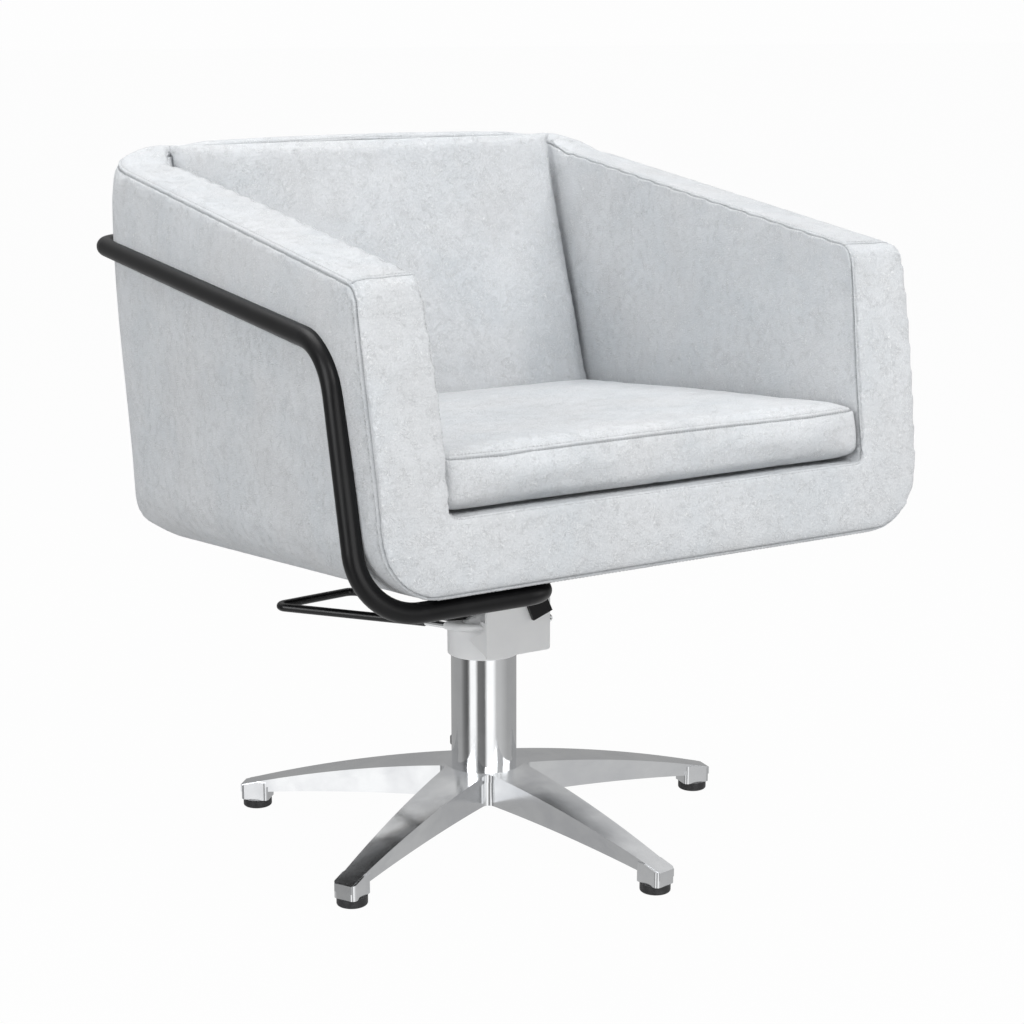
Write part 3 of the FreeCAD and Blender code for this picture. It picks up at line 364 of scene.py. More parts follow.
# ---------------------------------------------------------------------------
# Pump head. Collar and folded guard in satin light grey enamel, with the fine
# orange peel of sprayed paint and a slightly uneven gloss.
# ---------------------------------------------------------------------------


def paint_material(name, colour, shade, rough, peel, peel_scale=700.0, gloss=0.5):
    """Sprayed paint or powder coat."""
    material, tree, shader = new_material(name)
    shader.inputs["Specular IOR Level"].default_value = gloss
    place = tree.nodes.new("ShaderNodeTexCoord").outputs["Object"]
    patches = remap(tree, noise(tree, place, 25.0, 4.0), 0.35, 0.7)
    tree.links.new(blend_colours(tree, patches, colour, shade), shader.inputs["Base Color"])
    tree.links.new(remap(tree, patches, 0, 1, rough, rough + 0.08), shader.inputs["Roughness"])
    tree.links.new(bump_from(tree, noise(tree, place, peel_scale, 2.0), peel), shader.inputs["Normal"])
    return material


head_enamel = paint_material("head_enamel", (0.86, 0.865, 0.865), (0.82, 0.825, 0.83), 0.30, 0.00008)
paint(["pump_head", "head_guard", "pedal_sleeve"], head_enamel)

# ---------------------------------------------------------------------------
# Lever. A chromed rod and acorn nut, and a foot loop of steel rod dipped in
# gloss black plastic.
# ---------------------------------------------------------------------------
paint(["pedal_rod", "shaft_nut"], bright_chrome)
paint(["pedal_grip"], paint_material("black_dip_coat", (0.004, 0.004, 0.0045), (0.008, 0.008, 0.0085),
                                     0.25, 0.00012, 260.0, 0.35))

# ---------------------------------------------------------------------------
# Bracket and bent frame tube. Steel in satin black powder coat; the tube runs
# behind the back, along both sides and down under the seat to the bracket.
# ---------------------------------------------------------------------------
black_powder = paint_material("black_powder_coat", (0.004, 0.004, 0.0045), (0.007, 0.007, 0.0075),
                              0.30, 0.00006, 900.0, 0.20)
paint(["seat_bracket", "bracket_strap", "head_flange", "frame_tube_left", "frame_tube_right",
       "frame_tube_rear"], black_powder)

# ---------------------------------------------------------------------------
# Timber, webbing and dust cover inside and under the tub: raw plywood and pine,
# woven elastic straps, and black non-woven cloth stapled to the underside.
# ---------------------------------------------------------------------------


def timber_material():
    material, tree, shader = new_material("raw_timber")
    place = tree.nodes.new("ShaderNodeTexCoord").outputs["Object"]
    stretch = tree.nodes.new("ShaderNodeMapping")
    stretch.inputs["Scale"].default_value = (8, 90, 90)
    tree.links.new(place, stretch.inputs["Vector"])
    grain = noise(tree, stretch.outputs[0], 1.0, 6.0, 0.6, 0.4)
    wood = blend_colours(tree, remap(tree, grain, 0.3, 0.7), (0.16, 0.11, 0.07), (0.08, 0.055, 0.035))
    tree.links.new(wood, shader.inputs["Base Color"])
    shader.inputs["Roughness"].default_value = 0.75
    tree.links.new(bump_from(tree, grain, 0.0003), shader.inputs["Normal"])
    return material


def cloth_material(name, colour, shade, thread_scale, height):
    """Plain woven or non-woven cloth."""
    material, tree, shader = new_material(name)
    place = tree.nodes.new("ShaderNodeTexCoord").outputs["Object"]
    fibres = noise(tree, place, thread_scale, 3.0, 0.7)
    dyed = blend_colours(tree, remap(tree, fibres, 0.3, 0.7), colour, shade)
    tree.links.new(dyed, shader.inputs["Base Color"])
    shader.inputs["Roughness"].default_value = 0.9
    tree.links.new(bump_from(tree, fibres, height), shader.inputs["Normal"])
    return material


paint(["arm_core_left", "arm_core_right", "back_core", "front_rail_core", "seat_board", "seat_rails"],
      timber_material())
paint(["webbing"], cloth_material("elastic_webbing", (0.05, 0.045, 0.04), (0.03, 0.027, 0.025),
                                  500.0, 0.0004))
paint(["dust_cover"], cloth_material("dust_cloth", (0.018, 0.018, 0.018), (0.035, 0.035, 0.035),
                                     900.0, 0.0002))

# ---------------------------------------------------------------------------
# Tub cover. Suede-like cloth over foam: side panels, one top band that runs
# round arms and back, a U-shaped front panel, inner arm panels and the back,
# sewn to each other with a plain seam and a topstitch beside it.
# ---------------------------------------------------------------------------


def suede_group():
    """Short nap: clouds of shade, tufts that lie different ways, and pale curls where it is rubbed."""
    tree, given, out = group_sockets("short_nap", [("Cloud scale", 15.0), ("Curl scale", 150.0)],
                                     ["Clouds", "Tint", "Curls", "Specks", "Height"])
    place = tree.nodes.new("ShaderNodeTexCoord").outputs["Object"]
    cloud_scale, curl_scale = given.outputs["Cloud scale"], given.outputs["Curl scale"]
    clouds = remap(tree, noise(tree, place, cloud_scale, 6.0, 0.66, 0.5), 0.34, 0.68)
    tint_scale = arithmetic(tree, "MULTIPLY", cloud_scale, 0.6)
    tint = remap(tree, noise(tree, place, tint_scale, 3.0), 0.40, 0.60)
    lie = noise(tree, place, curl_scale, 2.0, 0.6, 2.2)
    off_middle = arithmetic(tree, "ABSOLUTE", arithmetic(tree, "SUBTRACT", lie, 0.5))
    line = remap(tree, off_middle, 0.0, 0.045, 1.0, 0.0)
    rubbed_scale = arithmetic(tree, "MULTIPLY", curl_scale, 0.55)
    rubbed = remap(tree, noise(tree, place, rubbed_scale, 3.0), 0.40, 0.62)
    curls = arithmetic(tree, "MULTIPLY", line, rubbed)
    grain = noise(tree, place, arithmetic(tree, "MULTIPLY", curl_scale, 4.2), 2.0, 0.7)
    specks = remap(tree, grain, 0.36, 0.66)
    height = arithmetic(tree, "MULTIPLY_ADD", curls, 0.55, arithmetic(tree, "MULTIPLY_ADD", grain, 0.6, lie))
    results = {"Clouds": clouds, "Tint": tint, "Curls": curls, "Specks": specks, "Height": height}
    for label, value in results.items():
        tree.links.new(value, out.inputs[label])
    return tree


short_nap = suede_group()


def suede_material(name):
    """The cover cloth. The mesh value seam_shade darkens it with painted shade in the seams' creases and
    along the topstitch.
    """
    material, tree, shader = new_material(name)
    nap = place_group(tree, short_nap)
    ground = blend_colours(tree, nap.outputs["Tint"], (0.575, 0.600, 0.622), (0.600, 0.610, 0.622))
    for mask, share, tone in (("Clouds", 0.70, (0.690, 0.705, 0.722)), ("Specks", 0.26, (0.42, 0.44, 0.46)),
                              ("Curls", 0.80, (0.92, 0.93, 0.94))):
        amount = arithmetic(tree, "MULTIPLY", nap.outputs[mask], share)
        ground = blend_colours(tree, amount, ground, tone)
    painted_crease_shade = tree.nodes.new("ShaderNodeAttribute")
    painted_crease_shade.attribute_name = "seam_shade"
    # painted shade: the seam_shade value darkens the colour where shadow falls in the creases and stitch
    # holes
    ground = blend_colours(tree, painted_crease_shade.outputs["Fac"], ground, (0.20, 0.21, 0.22))
    tree.links.new(ground, shader.inputs["Base Color"])
    shader.inputs["Roughness"].default_value = 0.92
    shader.inputs["Specular IOR Level"].default_value = 0.12
    shader.inputs["Sheen Weight"].default_value = 0.20
    shader.inputs["Sheen Roughness"].default_value = 0.5
    tree.links.new(bump_from(tree, nap.outputs["Height"], 0.0012, 0.75), shader.inputs["Normal"])
    return material


suede = suede_material("pale_suede")


def cad_shell(names):
    """The outer skins of CAD nodes as one mesh, without the closed spaces inside them."""
    whole = bmesh.new()
    for name in names:
        piece = bmesh.new()
        piece.from_mesh(nodes[name].data)
        bmesh.ops.remove_doubles(piece, verts=piece.verts, dist=1e-6)
        islands, seen = [], set()
        for vertex in piece.verts:
            if vertex in seen:
                continue
            island, stack = [], [vertex]
            seen.add(vertex)
            while stack:
                here = stack.pop()
                island.append(here)
                for edge in here.link_edges:
                    other = edge.other_vert(here)
                    if other not in seen:
                        seen.add(other)
                        stack.append(other)
            islands.append(island)
        islands.sort(key=lambda island: max(v.co.z for v in island) - min(v.co.z for v in island))
        for island in islands[:-1]:
            bmesh.ops.delete(piece, geom=island, context="VERTS")
        mesh = bpy.data.meshes.new("part")
        piece.to_mesh(mesh)
        piece.free()
        whole.from_mesh(mesh)
        bpy.data.meshes.remove(mesh)
    mesh = bpy.data.meshes.new("shell")
    whole.to_mesh(mesh)
    whole.free()
    return mesh


def remeshed(name, mesh, voxel):
    """A new object whose skin is an even grid of small quads."""
    obj = bpy.data.objects.new(name, mesh)
    scene.collection.objects.link(obj)
    modifier = obj.modifiers.new("grid", "REMESH")
    modifier.mode = "VOXEL"
    modifier.voxel_size = voxel
    flatten_modifiers(obj)
    return obj


def flatten_modifiers(obj):
    bpy.context.view_layer.update()
    graph = bpy.context.evaluated_depsgraph_get()
    baked = bpy.data.meshes.new_from_object(obj.evaluated_get(graph))
    obj.modifiers.clear()
    old = obj.data
    obj.data = baked
    bpy.data.meshes.remove(old)


def read_points(mesh):
    points = np.empty(len(mesh.vertices) * 3)
    mesh.vertices.foreach_get("co", points)
    return points.reshape(-1, 3)


def write_points(mesh, points):
    mesh.vertices.foreach_set("co", points.reshape(-1))
    mesh.update()


def read_normals(mesh):
    normals = np.empty(len(mesh.vertices) * 3)
    mesh.vertex_normals.foreach_get("vector", normals)
    return normals.reshape(-1, 3)


def read_edges(mesh):
    edges = np.empty(len(mesh.edges) * 2, dtype=np.int64)
    mesh.edges.foreach_get("vertices", edges)
    return edges.reshape(-1, 2)


def relax(points, edges, rounds, amount=0.5, outward=0.94):
    """Evens a skin out, as cloth does over foam, without drawing it in.

    Each smoothing step is followed by one outwards."""
    count = np.bincount(edges.reshape(-1), minlength=len(points))[:, None]
    for share in (amount, -outward * amount) * rounds:
        total = np.zeros_like(points)
        for axis in range(3):
            total[:, axis] = (np.bincount(edges[:, 0], points[edges[:, 1], axis], len(points))
                              + np.bincount(edges[:, 1], points[edges[:, 0], axis], len(points)))
        points = points + share * (total / count - points)
    return points


def smooth_step(value, low, high):
    t = np.clip((value - low) / (high - low), 0, 1)
    return t * t * (3 - 2 * t)


def by_quality(fine):
    return fine


# the tub's own frame: x across, depth from its front to its rear, height above its underside
tub_depth, tub_half = 0.621, 0.325
board_faces = nodes["seat_board"].data.polygons
tub_up = max((p for p in board_faces if p.normal.z > 0.9), key=lambda p: p.area).normal.copy()
tub_rear = Vector((1, 0, 0)).cross(tub_up) * -1
if tub_rear.y < 0:
    tub_rear.negate()
arm_points = np.array([v.co for v in nodes["arm_left"].data.vertices])
depth_zero = (arm_points @ np.array(tub_rear)).max() - tub_depth
height_zero = (arm_points @ np.array(tub_up)).min()


def to_tub(points):
    depth = points @ np.array(tub_rear) - depth_zero
    height = points @ np.array(tub_up) - height_zero
    return np.stack([points[:, 0], depth, height], 1)


def from_tub(points):
    points = np.asarray(points, float)
    return (np.outer(points[:, 0], (1, 0, 0)) + np.outer(points[:, 1] + depth_zero, tub_rear)
            + np.outer(points[:, 2] + height_zero, tub_up))


# the arms' inner faces, the front edge of their tops, and where their inner panels end at the rear
arm_inner, front_edge_d, arm_panel_d = 0.261, 0.0184, 0.56
seam_front_h, seam_rear_h = 0.299, 0.437
front_lean = front_edge_d / 0.304
arm_crest_h = 0.005


def arm_line(depth):
    """Height of the arm's sewn edge along its slope."""
    return seam_front_h + (seam_rear_h - seam_front_h) * (depth - front_edge_d) / (tub_depth - front_edge_d)


def line_of(corners, radii, step=0.002):
    """Closely spaced points along straight runs joined by arcs, in the tub's frame."""
    corners = [Vector(c) for c in corners]
    points = [corners[0]]
    for i in range(1, len(corners) - 1):
        a, b, c = corners[i - 1:i + 2]
        back, ahead = (a - b).normalized(), (c - b).normalized()
        half = back.angle(ahead) / 2
        r = radii[i - 1]
        cut = r / math.tan(half)
        middle = b + (back + ahead).normalized() * (r / math.sin(half))
        start, end = b + back * cut - middle, b + ahead * cut - middle
        turn = start.rotation_difference(end)
        steps = max(4, int(turn.angle * r / step))
        axis, angle = turn.to_axis_angle()
        points += [middle + Matrix.Rotation(angle * k / steps, 3, axis) @ start for k in range(steps + 1)]
    points.append(corners[-1])
    even = [points[0]]
    for p, q in zip(points, points[1:]):
        parts = max(1, int((q - p).length / step))
        even += [p.lerp(q, k / parts) for k in range(1, parts + 1)]
    return np.array(even)


def mirrored(line):
    """The line from its start, and the same on the tub's other side, as one line."""
    other = line[::-1] * np.array((-1, 1, 1))
    return np.concatenate([line, other[1:]])


def back_top(x):
    """Height of the back's top band, crowned in its middle and falling to the arms at its ends."""
    across = np.abs(x)
    fall = 0.019 * np.clip((across - 0.255) / 0.070, 0, 1) ** 1.8
    return 0.458 + 0.005 * (1 - np.clip(across / 0.255, 0, 1) ** 2) - fall


def band_top(points):
    """Height of the padded top at a place: the arm's slope, climbing to the back's band at the rear."""
    across, depth = np.abs(points[:, 0]), points[:, 1]
    out = np.clip((across - arm_inner) / (tub_half - arm_inner), 0, 1)
    arm = arm_line(depth) + arm_crest_h + 0.0015 * (1 - out) - 0.0055 * out ** 4
    climb = smooth_step(depth, 0.565, 0.612)
    share = np.where(across < arm_inner, smooth_step(depth, 0.58, 0.59), climb)
    return arm + (back_top(across) - arm) * share


rear_crest_h = 0.015
cad_climb = (0.568, 0.606)
opening_h, opening_r = 0.078, 0.014
front_top_r, bottom_r, rear_corner_r = 0.022, 0.066, 0.042


def cad_top(points):
    """Height of the CAD panels' flat top at a place."""
    across, depth = np.abs(points[:, 0]), points[:, 1]
    arm = arm_line(depth) + arm_crest_h
    rear = np.clip((depth - cad_climb[0]) / (cad_climb[1] - cad_climb[0]), 0, 1)
    arm = arm + (seam_rear_h + rear_crest_h - arm) * rear
    return np.where((across < arm_inner - 0.0005) & (depth > 0.55), seam_rear_h + 0.022, arm)


def outer_seam():
    """Round the tub's sides, from the middle of the back's top edge to under the middle of the front."""
    top = [(0, tub_depth, 0.455), (-tub_half, tub_depth, 0.441), (-tub_half, front_edge_d, seam_front_h)]
    front = [(-tub_half, 0.0, 0.0), (0, 0.0, 0.0)]
    return mirrored(line_of(top + front, (rear_corner_r, front_top_r, bottom_r)))


def inner_seam():
    """Round the opening, from the middle of the back pad's top to the middle of the rail."""
    top = [(0, 0.600, 0.452), (-arm_inner + 0.002, 0.598, 0.443),
           (-arm_inner, arm_panel_d, arm_line(arm_panel_d) + arm_crest_h),
           (-arm_inner, front_edge_d, seam_front_h + arm_crest_h)]
    front = [(-arm_inner, front_lean * opening_h, opening_h), (0, front_lean * opening_h, opening_h)]
    return mirrored(line_of(top + front, (0.010, 0.03, front_top_r, opening_r)))


def cross_seam(side):
    """Across the front of an arm's top, where the band meets the front panel."""
    x0, x1 = sorted((side * arm_inner, side * tub_half))
    seam_d = front_edge_d + 0.010
    return np.array([(x, seam_d, arm_line(seam_d) + 0.006) for x in np.linspace(x0, x1, 34)])


class Skin:
    """The cover's surface as it is at the moment, for finding the nearest point to a line."""

    def __init__(self, obj):
        self.tree = BVHTree.FromPolygons([v.co.copy() for v in obj.data.vertices],
                                         [tuple(p.vertices) for p in obj.data.polygons])

    def lay(self, line, inward=0.0):
        """The line laid on the surface, with the surface's normal at each of its points."""
        found = [self.tree.find_nearest(Vector(p)) for p in line]
        places = np.array([f[0] for f in found])
        facing = np.array([f[1] for f in found])
        for _ in range(6):
            facing[1:-1] = (facing[:-2] + facing[1:-1] * 2 + facing[2:]) / 4
            places[1:-1] = (places[:-2] + places[1:-1] * 2 + places[2:]) / 4
        facing /= np.linalg.norm(facing, axis=1)[:, None]
        return places - facing * inward, facing


def distance_to(points, lines, reach):
    """Distance from each point to the nearest of the lines, up to a reach."""
    every = np.concatenate(lines)
    tree = KDTree(len(every))
    for i, p in enumerate(every):
        tree.insert(p, i)
    tree.balance()
    low, high = every.min(0) - reach, every.max(0) + reach
    distance = np.full(len(points), reach)
    near = np.nonzero(((points > low) & (points < high)).all(1))[0]
    for i in near:
        distance[i] = min(reach, tree.find(points[i])[2])
    return distance


def divide_near(obj, lines, reach, rounds):
    """Cuts the grid finer beside the seams, so that the crease is in the mesh."""
    work = bmesh.new()
    work.from_mesh(obj.data)
    for _ in range(rounds):
        points = np.array([v.co for v in work.verts])
        near = distance_to(points, lines, reach * 1.2) < reach
        edges = [e for e in work.edges if near[e.verts[0].index] and near[e.verts[1].index]]
        bmesh.ops.subdivide_edges(work, edges=edges, cuts=1, use_grid_fill=True)
        work.verts.index_update()
        reach *= 0.6
    work.to_mesh(obj.data)
    work.free()


def sew(obj, seams, stitch_lines, crease=0.0022, swell=0.0010, swell_width=0.012, pull=0.0009):
    """Pulls the skin in along its seams, swells it beside them, raises the hem and dimples the topstitch, and
    stores painted shade for the creases and stitches as seam_shade.
    """
    points, normals = read_points(obj.data), read_normals(obj.data)
    gap = distance_to(points, seams, 0.06)
    drop = -crease * np.exp(-(gap / 0.0011) ** 2) - swell * np.exp(-gap / swell_width)
    # painted shade: darkest in the crease along the seam line
    shade = 0.95 * np.exp(-(gap / 0.0010) ** 2)
    stitch_gap = distance_to(points, stitch_lines, 0.012)
    hem = np.exp(-((stitch_gap - 0.0028) / 0.0022) ** 2)
    drop += 0.0007 * hem * (gap < 0.0068) * (1 - np.exp(-(gap / 0.0016) ** 2))
    drop -= pull * np.exp(-(stitch_gap / 0.0012) ** 2)
    # painted shade: a little darker along the topstitch holes
    shade += 0.22 * np.exp(-(stitch_gap / 0.0010) ** 2)
    write_points(obj.data, points + normals * drop[:, None])
    values = obj.data.attributes.new("seam_shade", "FLOAT", "POINT")
    values.data.foreach_set("value", np.clip(shade, 0, 1).astype(np.float32))


def beside(skin, line, facing, offset, towards):
    """A topstitch line: the seam moved sideways on the surface, towards a place function's direction."""
    along = np.gradient(line, axis=0)
    across = np.cross(along, facing)
    across /= np.linalg.norm(across, axis=1)[:, None] + 1e-12
    sign = np.sign((across * towards).sum(1))[:, None]
    return skin.lay(line + across * sign * offset)


def value_at(place, lengths, rows):
    """The rows' values at a length along their line."""
    return np.array([np.interp(place, lengths, rows[:, axis]) for axis in range(3)])


def thread(name, runs, pitch=0.0043, length=0.0031, radius=0.00034, sides=5):
    """Topstitching: short rounded threads that dip into the cloth at each end."""
    vertices, faces = [], []
    profile = ((-0.5, 0.35, -1.0), (-0.34, 1.0, 0.45), (0.0, 1.12, 0.9), (0.34, 1.0, 0.45), (0.5, 0.35, -1.0))
    for line, facing in runs:
        lengths = np.concatenate([[0], np.cumsum(np.linalg.norm(np.diff(line, axis=0), axis=1))])
        for k in range(int(lengths[-1] / pitch)):
            middle_at = (k + 0.5) * pitch
            ends = [value_at(middle_at + t * length, lengths, line) for t in (-0.5, 0.5)]
            up = value_at(middle_at, lengths, facing)
            along = (ends[1] - ends[0]) / (np.linalg.norm(ends[1] - ends[0]) + 1e-9)
            side = np.cross(along, up)
            first = len(vertices)
            for share, fat, lift in profile:
                centre = (ends[0] + ends[1]) / 2 + along * share * length + up * lift * radius
                for n in range(sides):
                    angle = 2 * math.pi * n / sides
                    vertices.append(centre + (side * math.cos(angle) + up * math.sin(angle)) * radius * fat)
            for ring in range(len(profile) - 1):
                for n in range(sides):
                    a, b = first + ring * sides + n, first + ring * sides + (n + 1) % sides
                    faces.append((a, b, b + sides, a + sides))
            faces.append(tuple(first + n for n in reversed(range(sides))))
            faces.append(tuple(first + (len(profile) - 1) * sides + n for n in range(sides)))
    return mesh_object(name, vertices, faces)


def widened(points):
    """The arms grow thicker downwards on their inner sides and fuller upwards on their outer sides."""
    across, depth, height = np.abs(points[:, 0]), points[:, 1], points[:, 2]
    inside = (smooth_step(across, arm_inner - 0.035, arm_inner - 0.010)
              * (1 - smooth_step(across, arm_inner, arm_inner + 0.060)))
    inside *= smooth_step(height, 0.050, 0.085) * (1 - smooth_step(depth, 0.30, arm_panel_d))
    moved = np.array(points, float)
    moved[:, 0] -= np.sign(points[:, 0]) * inside * (0.009 - 0.005 * smooth_step(height, 0.10, 0.30))
    moved[:, 0] *= 1 + 0.014 * smooth_step(height, 0.08, 0.30) * smooth_step(across, 0.28, tub_half)
    return moved


cover_shell = cad_shell(["arm_left", "arm_right", "back_shell", "front_rail"])
cover = remeshed("tub_cover", cover_shell, by_quality(0.0045))
skin_points = to_tub(read_points(cover.data))
edges = read_edges(cover.data)
top_share = smooth_step(skin_points[:, 2] - cad_top(skin_points), -0.045, -0.004)
skin_points[:, 2] += (band_top(skin_points) - cad_top(skin_points)) * top_share
skin_points = relax(skin_points, edges, by_quality(12))
# the top band runs evenly round from the arms to the back
corner = (smooth_step(skin_points[:, 1], 0.54, 0.57) * smooth_step(skin_points[:, 2], 0.39, 0.42)
          * smooth_step(np.abs(skin_points[:, 0]), 0.20, 0.24))[:, None]
even = relax(skin_points, edges, by_quality(24), outward=0.0)
skin_points = skin_points * (1 - corner) + even * corner
# the front is crowned forwards, the sides and rear swell, and the arms' inner sides belly a little
height, depth, across = skin_points[:, 2], skin_points[:, 1], np.abs(skin_points[:, 0])
top_here = band_top(skin_points)
level = np.clip(height / top_here, 0, 1)
front_share = 1 - smooth_step(depth - front_lean * height, 0.0, 0.05)
skin_points[:, 1] -= front_share * 0.008 * np.sin(math.pi * level) ** 0.8
inner_share = ((1 - smooth_step(across, arm_inner, arm_inner + 0.02))
               * smooth_step(across, arm_inner - 0.01, arm_inner - 0.003) * (depth < arm_panel_d))
bow_up = np.sin(math.pi * np.clip((height - 0.08) / (top_here - 0.08), 0, 1))
bow_along = np.sin(math.pi * np.clip(depth / arm_panel_d, 0, 1)) ** 0.5
skin_points[:, 0] -= np.sign(skin_points[:, 0]) * inner_share * 0.004 * bow_up * bow_along
skin_points = widened(skin_points)
write_points(cover.data, from_tub(skin_points))
skin = Skin(cover)
edge_lines = [skin.lay(from_tub(widened(outer_seam())))[0]]
outside = np.maximum(smooth_step(across, tub_half - 0.03, tub_half - 0.006),
                     smooth_step(depth, tub_depth - 0.02, tub_depth - 0.004))
outside *= smooth_step(height, 0.0, 0.06) * smooth_step(depth, 0.004, 0.02)
swelling = 0.0075 * (1 - np.exp(-distance_to(read_points(cover.data), edge_lines, 0.30) / 0.045)) * outside
write_points(cover.data, read_points(cover.data) + read_normals(cover.data) * swelling[:, None])
skin = Skin(cover)
tub_seams = [outer_seam(), inner_seam(), cross_seam(-1), cross_seam(1)]
laid = [skin.lay(from_tub(widened(line))) for line in tub_seams]
seam_lines = [line for line, _ in laid]
stitch_offset = 0.006


def all_along(line, way):
    """One direction, for every point of a line."""
    return np.outer(np.ones(len(line)), way)


def topstitches():
    """Where each seam's topstitch runs.

    It is on the band along the top, behind the front edge at the sides, and on the front
    panel round the opening."""
    runs = []
    outer_tub, inner_tub = to_tub(laid[0][0]), to_tub(laid[1][0])
    on_top = (outer_tub[:, 2] > arm_line(outer_tub[:, 1]) - 0.012)
    inwards = np.outer(-np.sign(outer_tub[:, 0]), (1, 0, 0))
    rearward = all_along(outer_tub, tub_rear)
    behind = outer_tub[:, 1] > tub_depth - 0.02
    aim = np.where(on_top[:, None], np.where(behind[:, None], -rearward, inwards), rearward)
    for chosen in pieces_of(on_top) + pieces_of(~on_top):
        runs.append(beside(skin, laid[0][0][chosen], laid[0][1][chosen], stitch_offset, aim[chosen]))
    low = inner_tub[:, 1] < 0.03
    outwards = np.outer(np.sign(inner_tub[:, 0]), (1, 0, 0))
    down = -all_along(inner_tub, tub_up)
    on_rail = (inner_tub[:, 2] < opening_h + 0.02)[:, None]
    rear_now = (inner_tub[:, 1] > 0.585)[:, None]
    back_aim = all_along(inner_tub, tub_rear)
    aim = np.where(rear_now, back_aim + outwards * 0.3, outwards)
    aim = np.where(low[:, None] & on_rail, down + outwards * 0.6, aim)
    runs.append(beside(skin, laid[1][0], laid[1][1], stitch_offset, aim))
    for number in (2, 3):
        line, facing = laid[number]
        runs.append(beside(skin, line, facing, 0.005, all_along(line, tub_rear)))
    return runs


def pieces_of(mask):
    """The runs of true values in a mask, as slices."""
    edges = np.flatnonzero(np.diff(np.concatenate([[0], mask.astype(int), [0]])))
    return [slice(a, b) for a, b in zip(edges[::2], edges[1::2]) if b - a > 12]


stitch_runs = topstitches()
stitch_lines = [line for line, _ in stitch_runs]
divide_near(cover, seam_lines, 0.010, 2)
sew(cover, seam_lines, stitch_lines)
cover.data.materials.append(suede)
cover.data.shade_smooth()
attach(cover, "seat")
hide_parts("arm_left", "arm_right", "back_shell", "front_rail")

thread_material = cloth_material("thread", (0.60, 0.61, 0.62), (0.50, 0.51, 0.52), 2500.0, 0.0001)
skin = Skin(cover)
tub_thread = thread("tub_topstitch", [skin.lay(line) for line in stitch_lines])
tub_thread.data.materials.append(thread_material)
tub_thread.data.shade_smooth()
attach(tub_thread, "seat")

# ---------------------------------------------------------------------------
# Back pad. A leaning foam pad covered in the same cloth, tucked in behind the
# cushion and sewn to the top band; its sides press against the inner arms.
# ---------------------------------------------------------------------------


def inflate(obj, pressure, cap, frames=20):
    """Lets a cover swell over its filling with the cloth solver, each point at most a cap away."""
    before = read_points(obj.data)
    cloth = obj.modifiers.new("filling", "CLOTH")
    settings = cloth.settings
    settings.use_pressure = True
    settings.uniform_pressure_force = pressure
    settings.effector_weights.gravity = 0
    settings.quality = 4
    settings.tension_stiffness = settings.compression_stiffness = 40
    settings.shear_stiffness = 20
    settings.bending_stiffness = 2
    cloth.collision_settings.use_collision = False
    cloth.point_cache.frame_start, cloth.point_cache.frame_end = 1, frames
    for number in range(1, frames + 1):
        scene.frame_set(number)
    flatten_modifiers(obj)
    scene.frame_set(1)
    moved = read_points(obj.data) - before
    size = np.linalg.norm(moved, axis=1)[:, None]
    write_points(obj.data, before + moved * np.minimum(1, cap / np.maximum(size, 1e-9)))


pad = remeshed("back_pad_cover", cad_shell(["back_pad"]), by_quality(0.0055))
pad_edges = read_edges(pad.data)
pad_tub = to_tub(read_points(pad.data))
pad_tub = relax(pad_tub, pad_edges, by_quality(10))
write_points(pad.data, from_tub(pad_tub))
inflate(pad, 3.0, 0.006)
pad_tub = to_tub(read_points(pad.data))
pad_x, pad_h = pad_tub[:, 0], pad_tub[:, 2]
pad_front_share = smooth_step(0.52 + (pad_h - 0.083) * 0.244 + 0.012 - pad_tub[:, 1], 0.0, 0.02)
belly = (np.cos(np.clip(pad_x / 0.262, -1, 1) * math.pi / 2)
         * np.sin(np.clip((pad_h - 0.06) / 0.39, 0, 1) * math.pi))
pad_tub[:, 1] -= pad_front_share * 0.006 * belly
pad_tub[:, 2] += 0.013 * smooth_step(pad_h, 0.33, 0.44)
pad_tub[:, 1] -= 0.004 * smooth_step(pad_h, 0.40, 0.45) * pad_front_share
pad_limit_x = 0.2605
pad_tub[:, 0] = np.clip(pad_tub[:, 0], -pad_limit_x, pad_limit_x)
write_points(pad.data, from_tub(pad_tub))
pad.data.materials.append(suede)
pad.data.shade_smooth()
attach(pad, "seat")
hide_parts("back_pad")

# ---------------------------------------------------------------------------
# Seat cushion. A boxed loose cushion: a top and a bottom panel sewn to a band
# round its sides, with a topstitch on the top panel beside the front seam.
# ---------------------------------------------------------------------------
cushion_high, cushion_depth = 0.138, 0.52
cushion_half = arm_inner - 0.007


def drawn_in(points, middle, amount):
    """Points drawn towards a middle by a fixed distance along each axis."""
    return points - np.sign(points - middle) * np.minimum(np.abs(points - middle), amount)


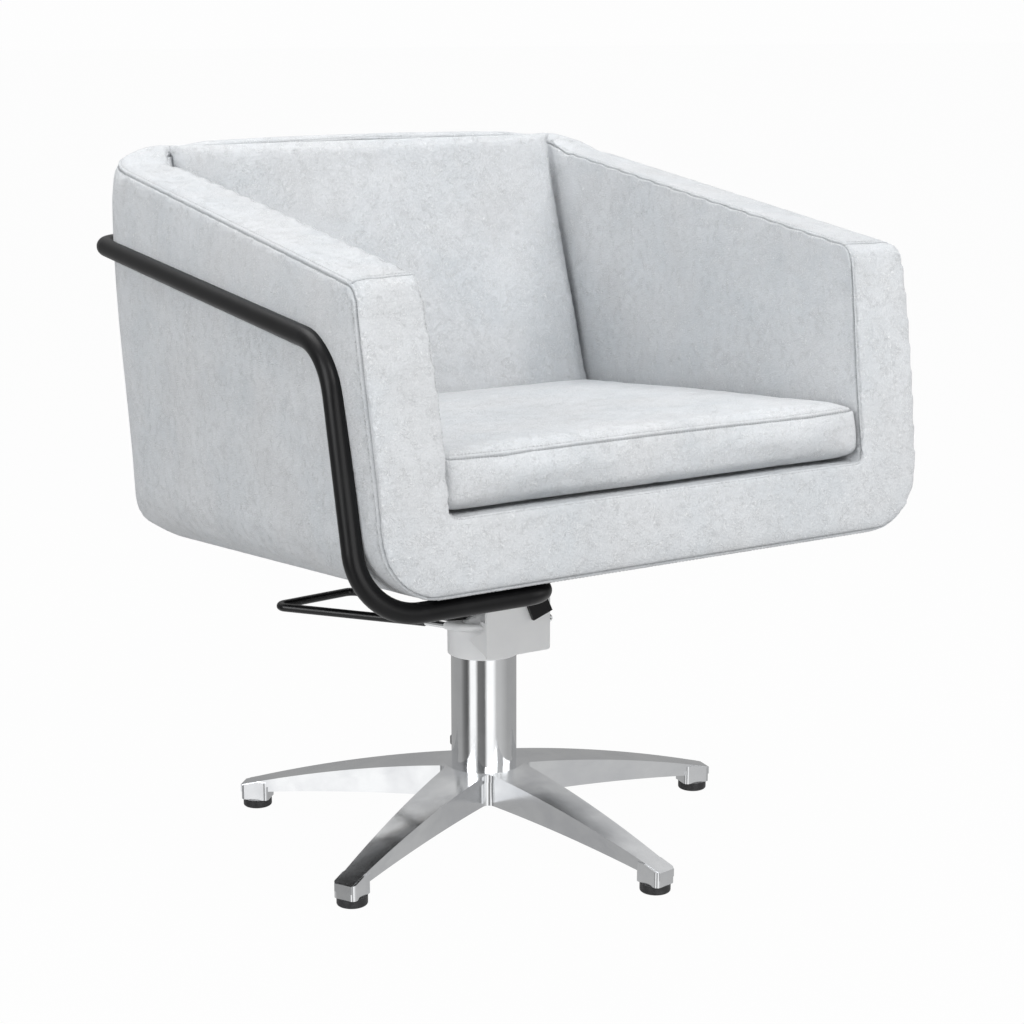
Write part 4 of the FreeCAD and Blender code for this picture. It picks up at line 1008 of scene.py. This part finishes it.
cushion = remeshed("seat_cushion_cover", cad_shell(["seat_cushion"]), by_quality(0.005))
cushion_edges = read_edges(cushion.data)
cushion_tub = to_tub(read_points(cushion.data))
cushion_tub = relax(cushion_tub, cushion_edges, by_quality(6))
cushion_tub = drawn_in(cushion_tub, np.array((0, 0.26, 0.11)), 0.002)
write_points(cushion.data, from_tub(cushion_tub))
inflate(cushion, 3.0, 0.0045)
cushion_tub = relax(to_tub(read_points(cushion.data)), cushion_edges, by_quality(4))
crown_half, cushion_limit_x, cushion_limit_h = 0.26, 0.2545, 0.0815
crown = (np.sin(math.pi * np.clip((cushion_tub[:, 0] + crown_half) / (2 * crown_half), 0, 1))
         * np.sin(math.pi * np.clip(cushion_tub[:, 1] / cushion_depth, 0, 1)))
cushion_tub[:, 2] += 0.006 * crown ** 0.5 * smooth_step(cushion_tub[:, 2], 0.10, 0.13)
cushion_tub[:, 0] = np.clip(cushion_tub[:, 0], -cushion_limit_x, cushion_limit_x)
cushion_tub[:, 2] = np.maximum(cushion_tub[:, 2], cushion_limit_h)
write_points(cushion.data, from_tub(cushion_tub))


def seam_h(depth):
    """Height of the top panel's sewn edge, which rises a little to the rear."""
    return cushion_high + 0.006 * np.clip(depth / cushion_depth, 0, 1) - 0.001


def cushion_seam():
    """Round three sides of the cushion, from rear to front and back, at the top panel's edge."""
    x, front, rear, corner_r = cushion_half, 0.002, 0.50, 0.022
    corners = [(-x, rear, seam_h(rear)), (-x, front, seam_h(0)),
               (x, front, seam_h(0)), (x, rear, seam_h(rear))]
    return line_of(corners, (corner_r, corner_r))


cushion_skin = Skin(cushion)
top_seam = cushion_skin.lay(from_tub(cushion_seam()))
inner_way = (np.outer(-np.sign(top_seam[0][:, 0]), (1, 0, 0)) * 0.3 + all_along(top_seam[0], tub_rear)
             + np.array(tub_up) * 0.6)
top_stitch = beside(cushion_skin, *top_seam, 0.0055, inner_way)
divide_near(cushion, [top_seam[0]], 0.010, 2)
sew(cushion, [top_seam[0]], [top_stitch[0]], swell=0.0008)
cushion.data.materials.append(suede)
cushion.data.shade_smooth()
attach(cushion, "seat")
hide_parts("seat_cushion")

cushion_thread = thread("cushion_topstitch", [Skin(cushion).lay(top_stitch[0])])
cushion_thread.data.materials.append(thread_material)
cushion_thread.data.shade_smooth()
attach(cushion_thread, "seat")
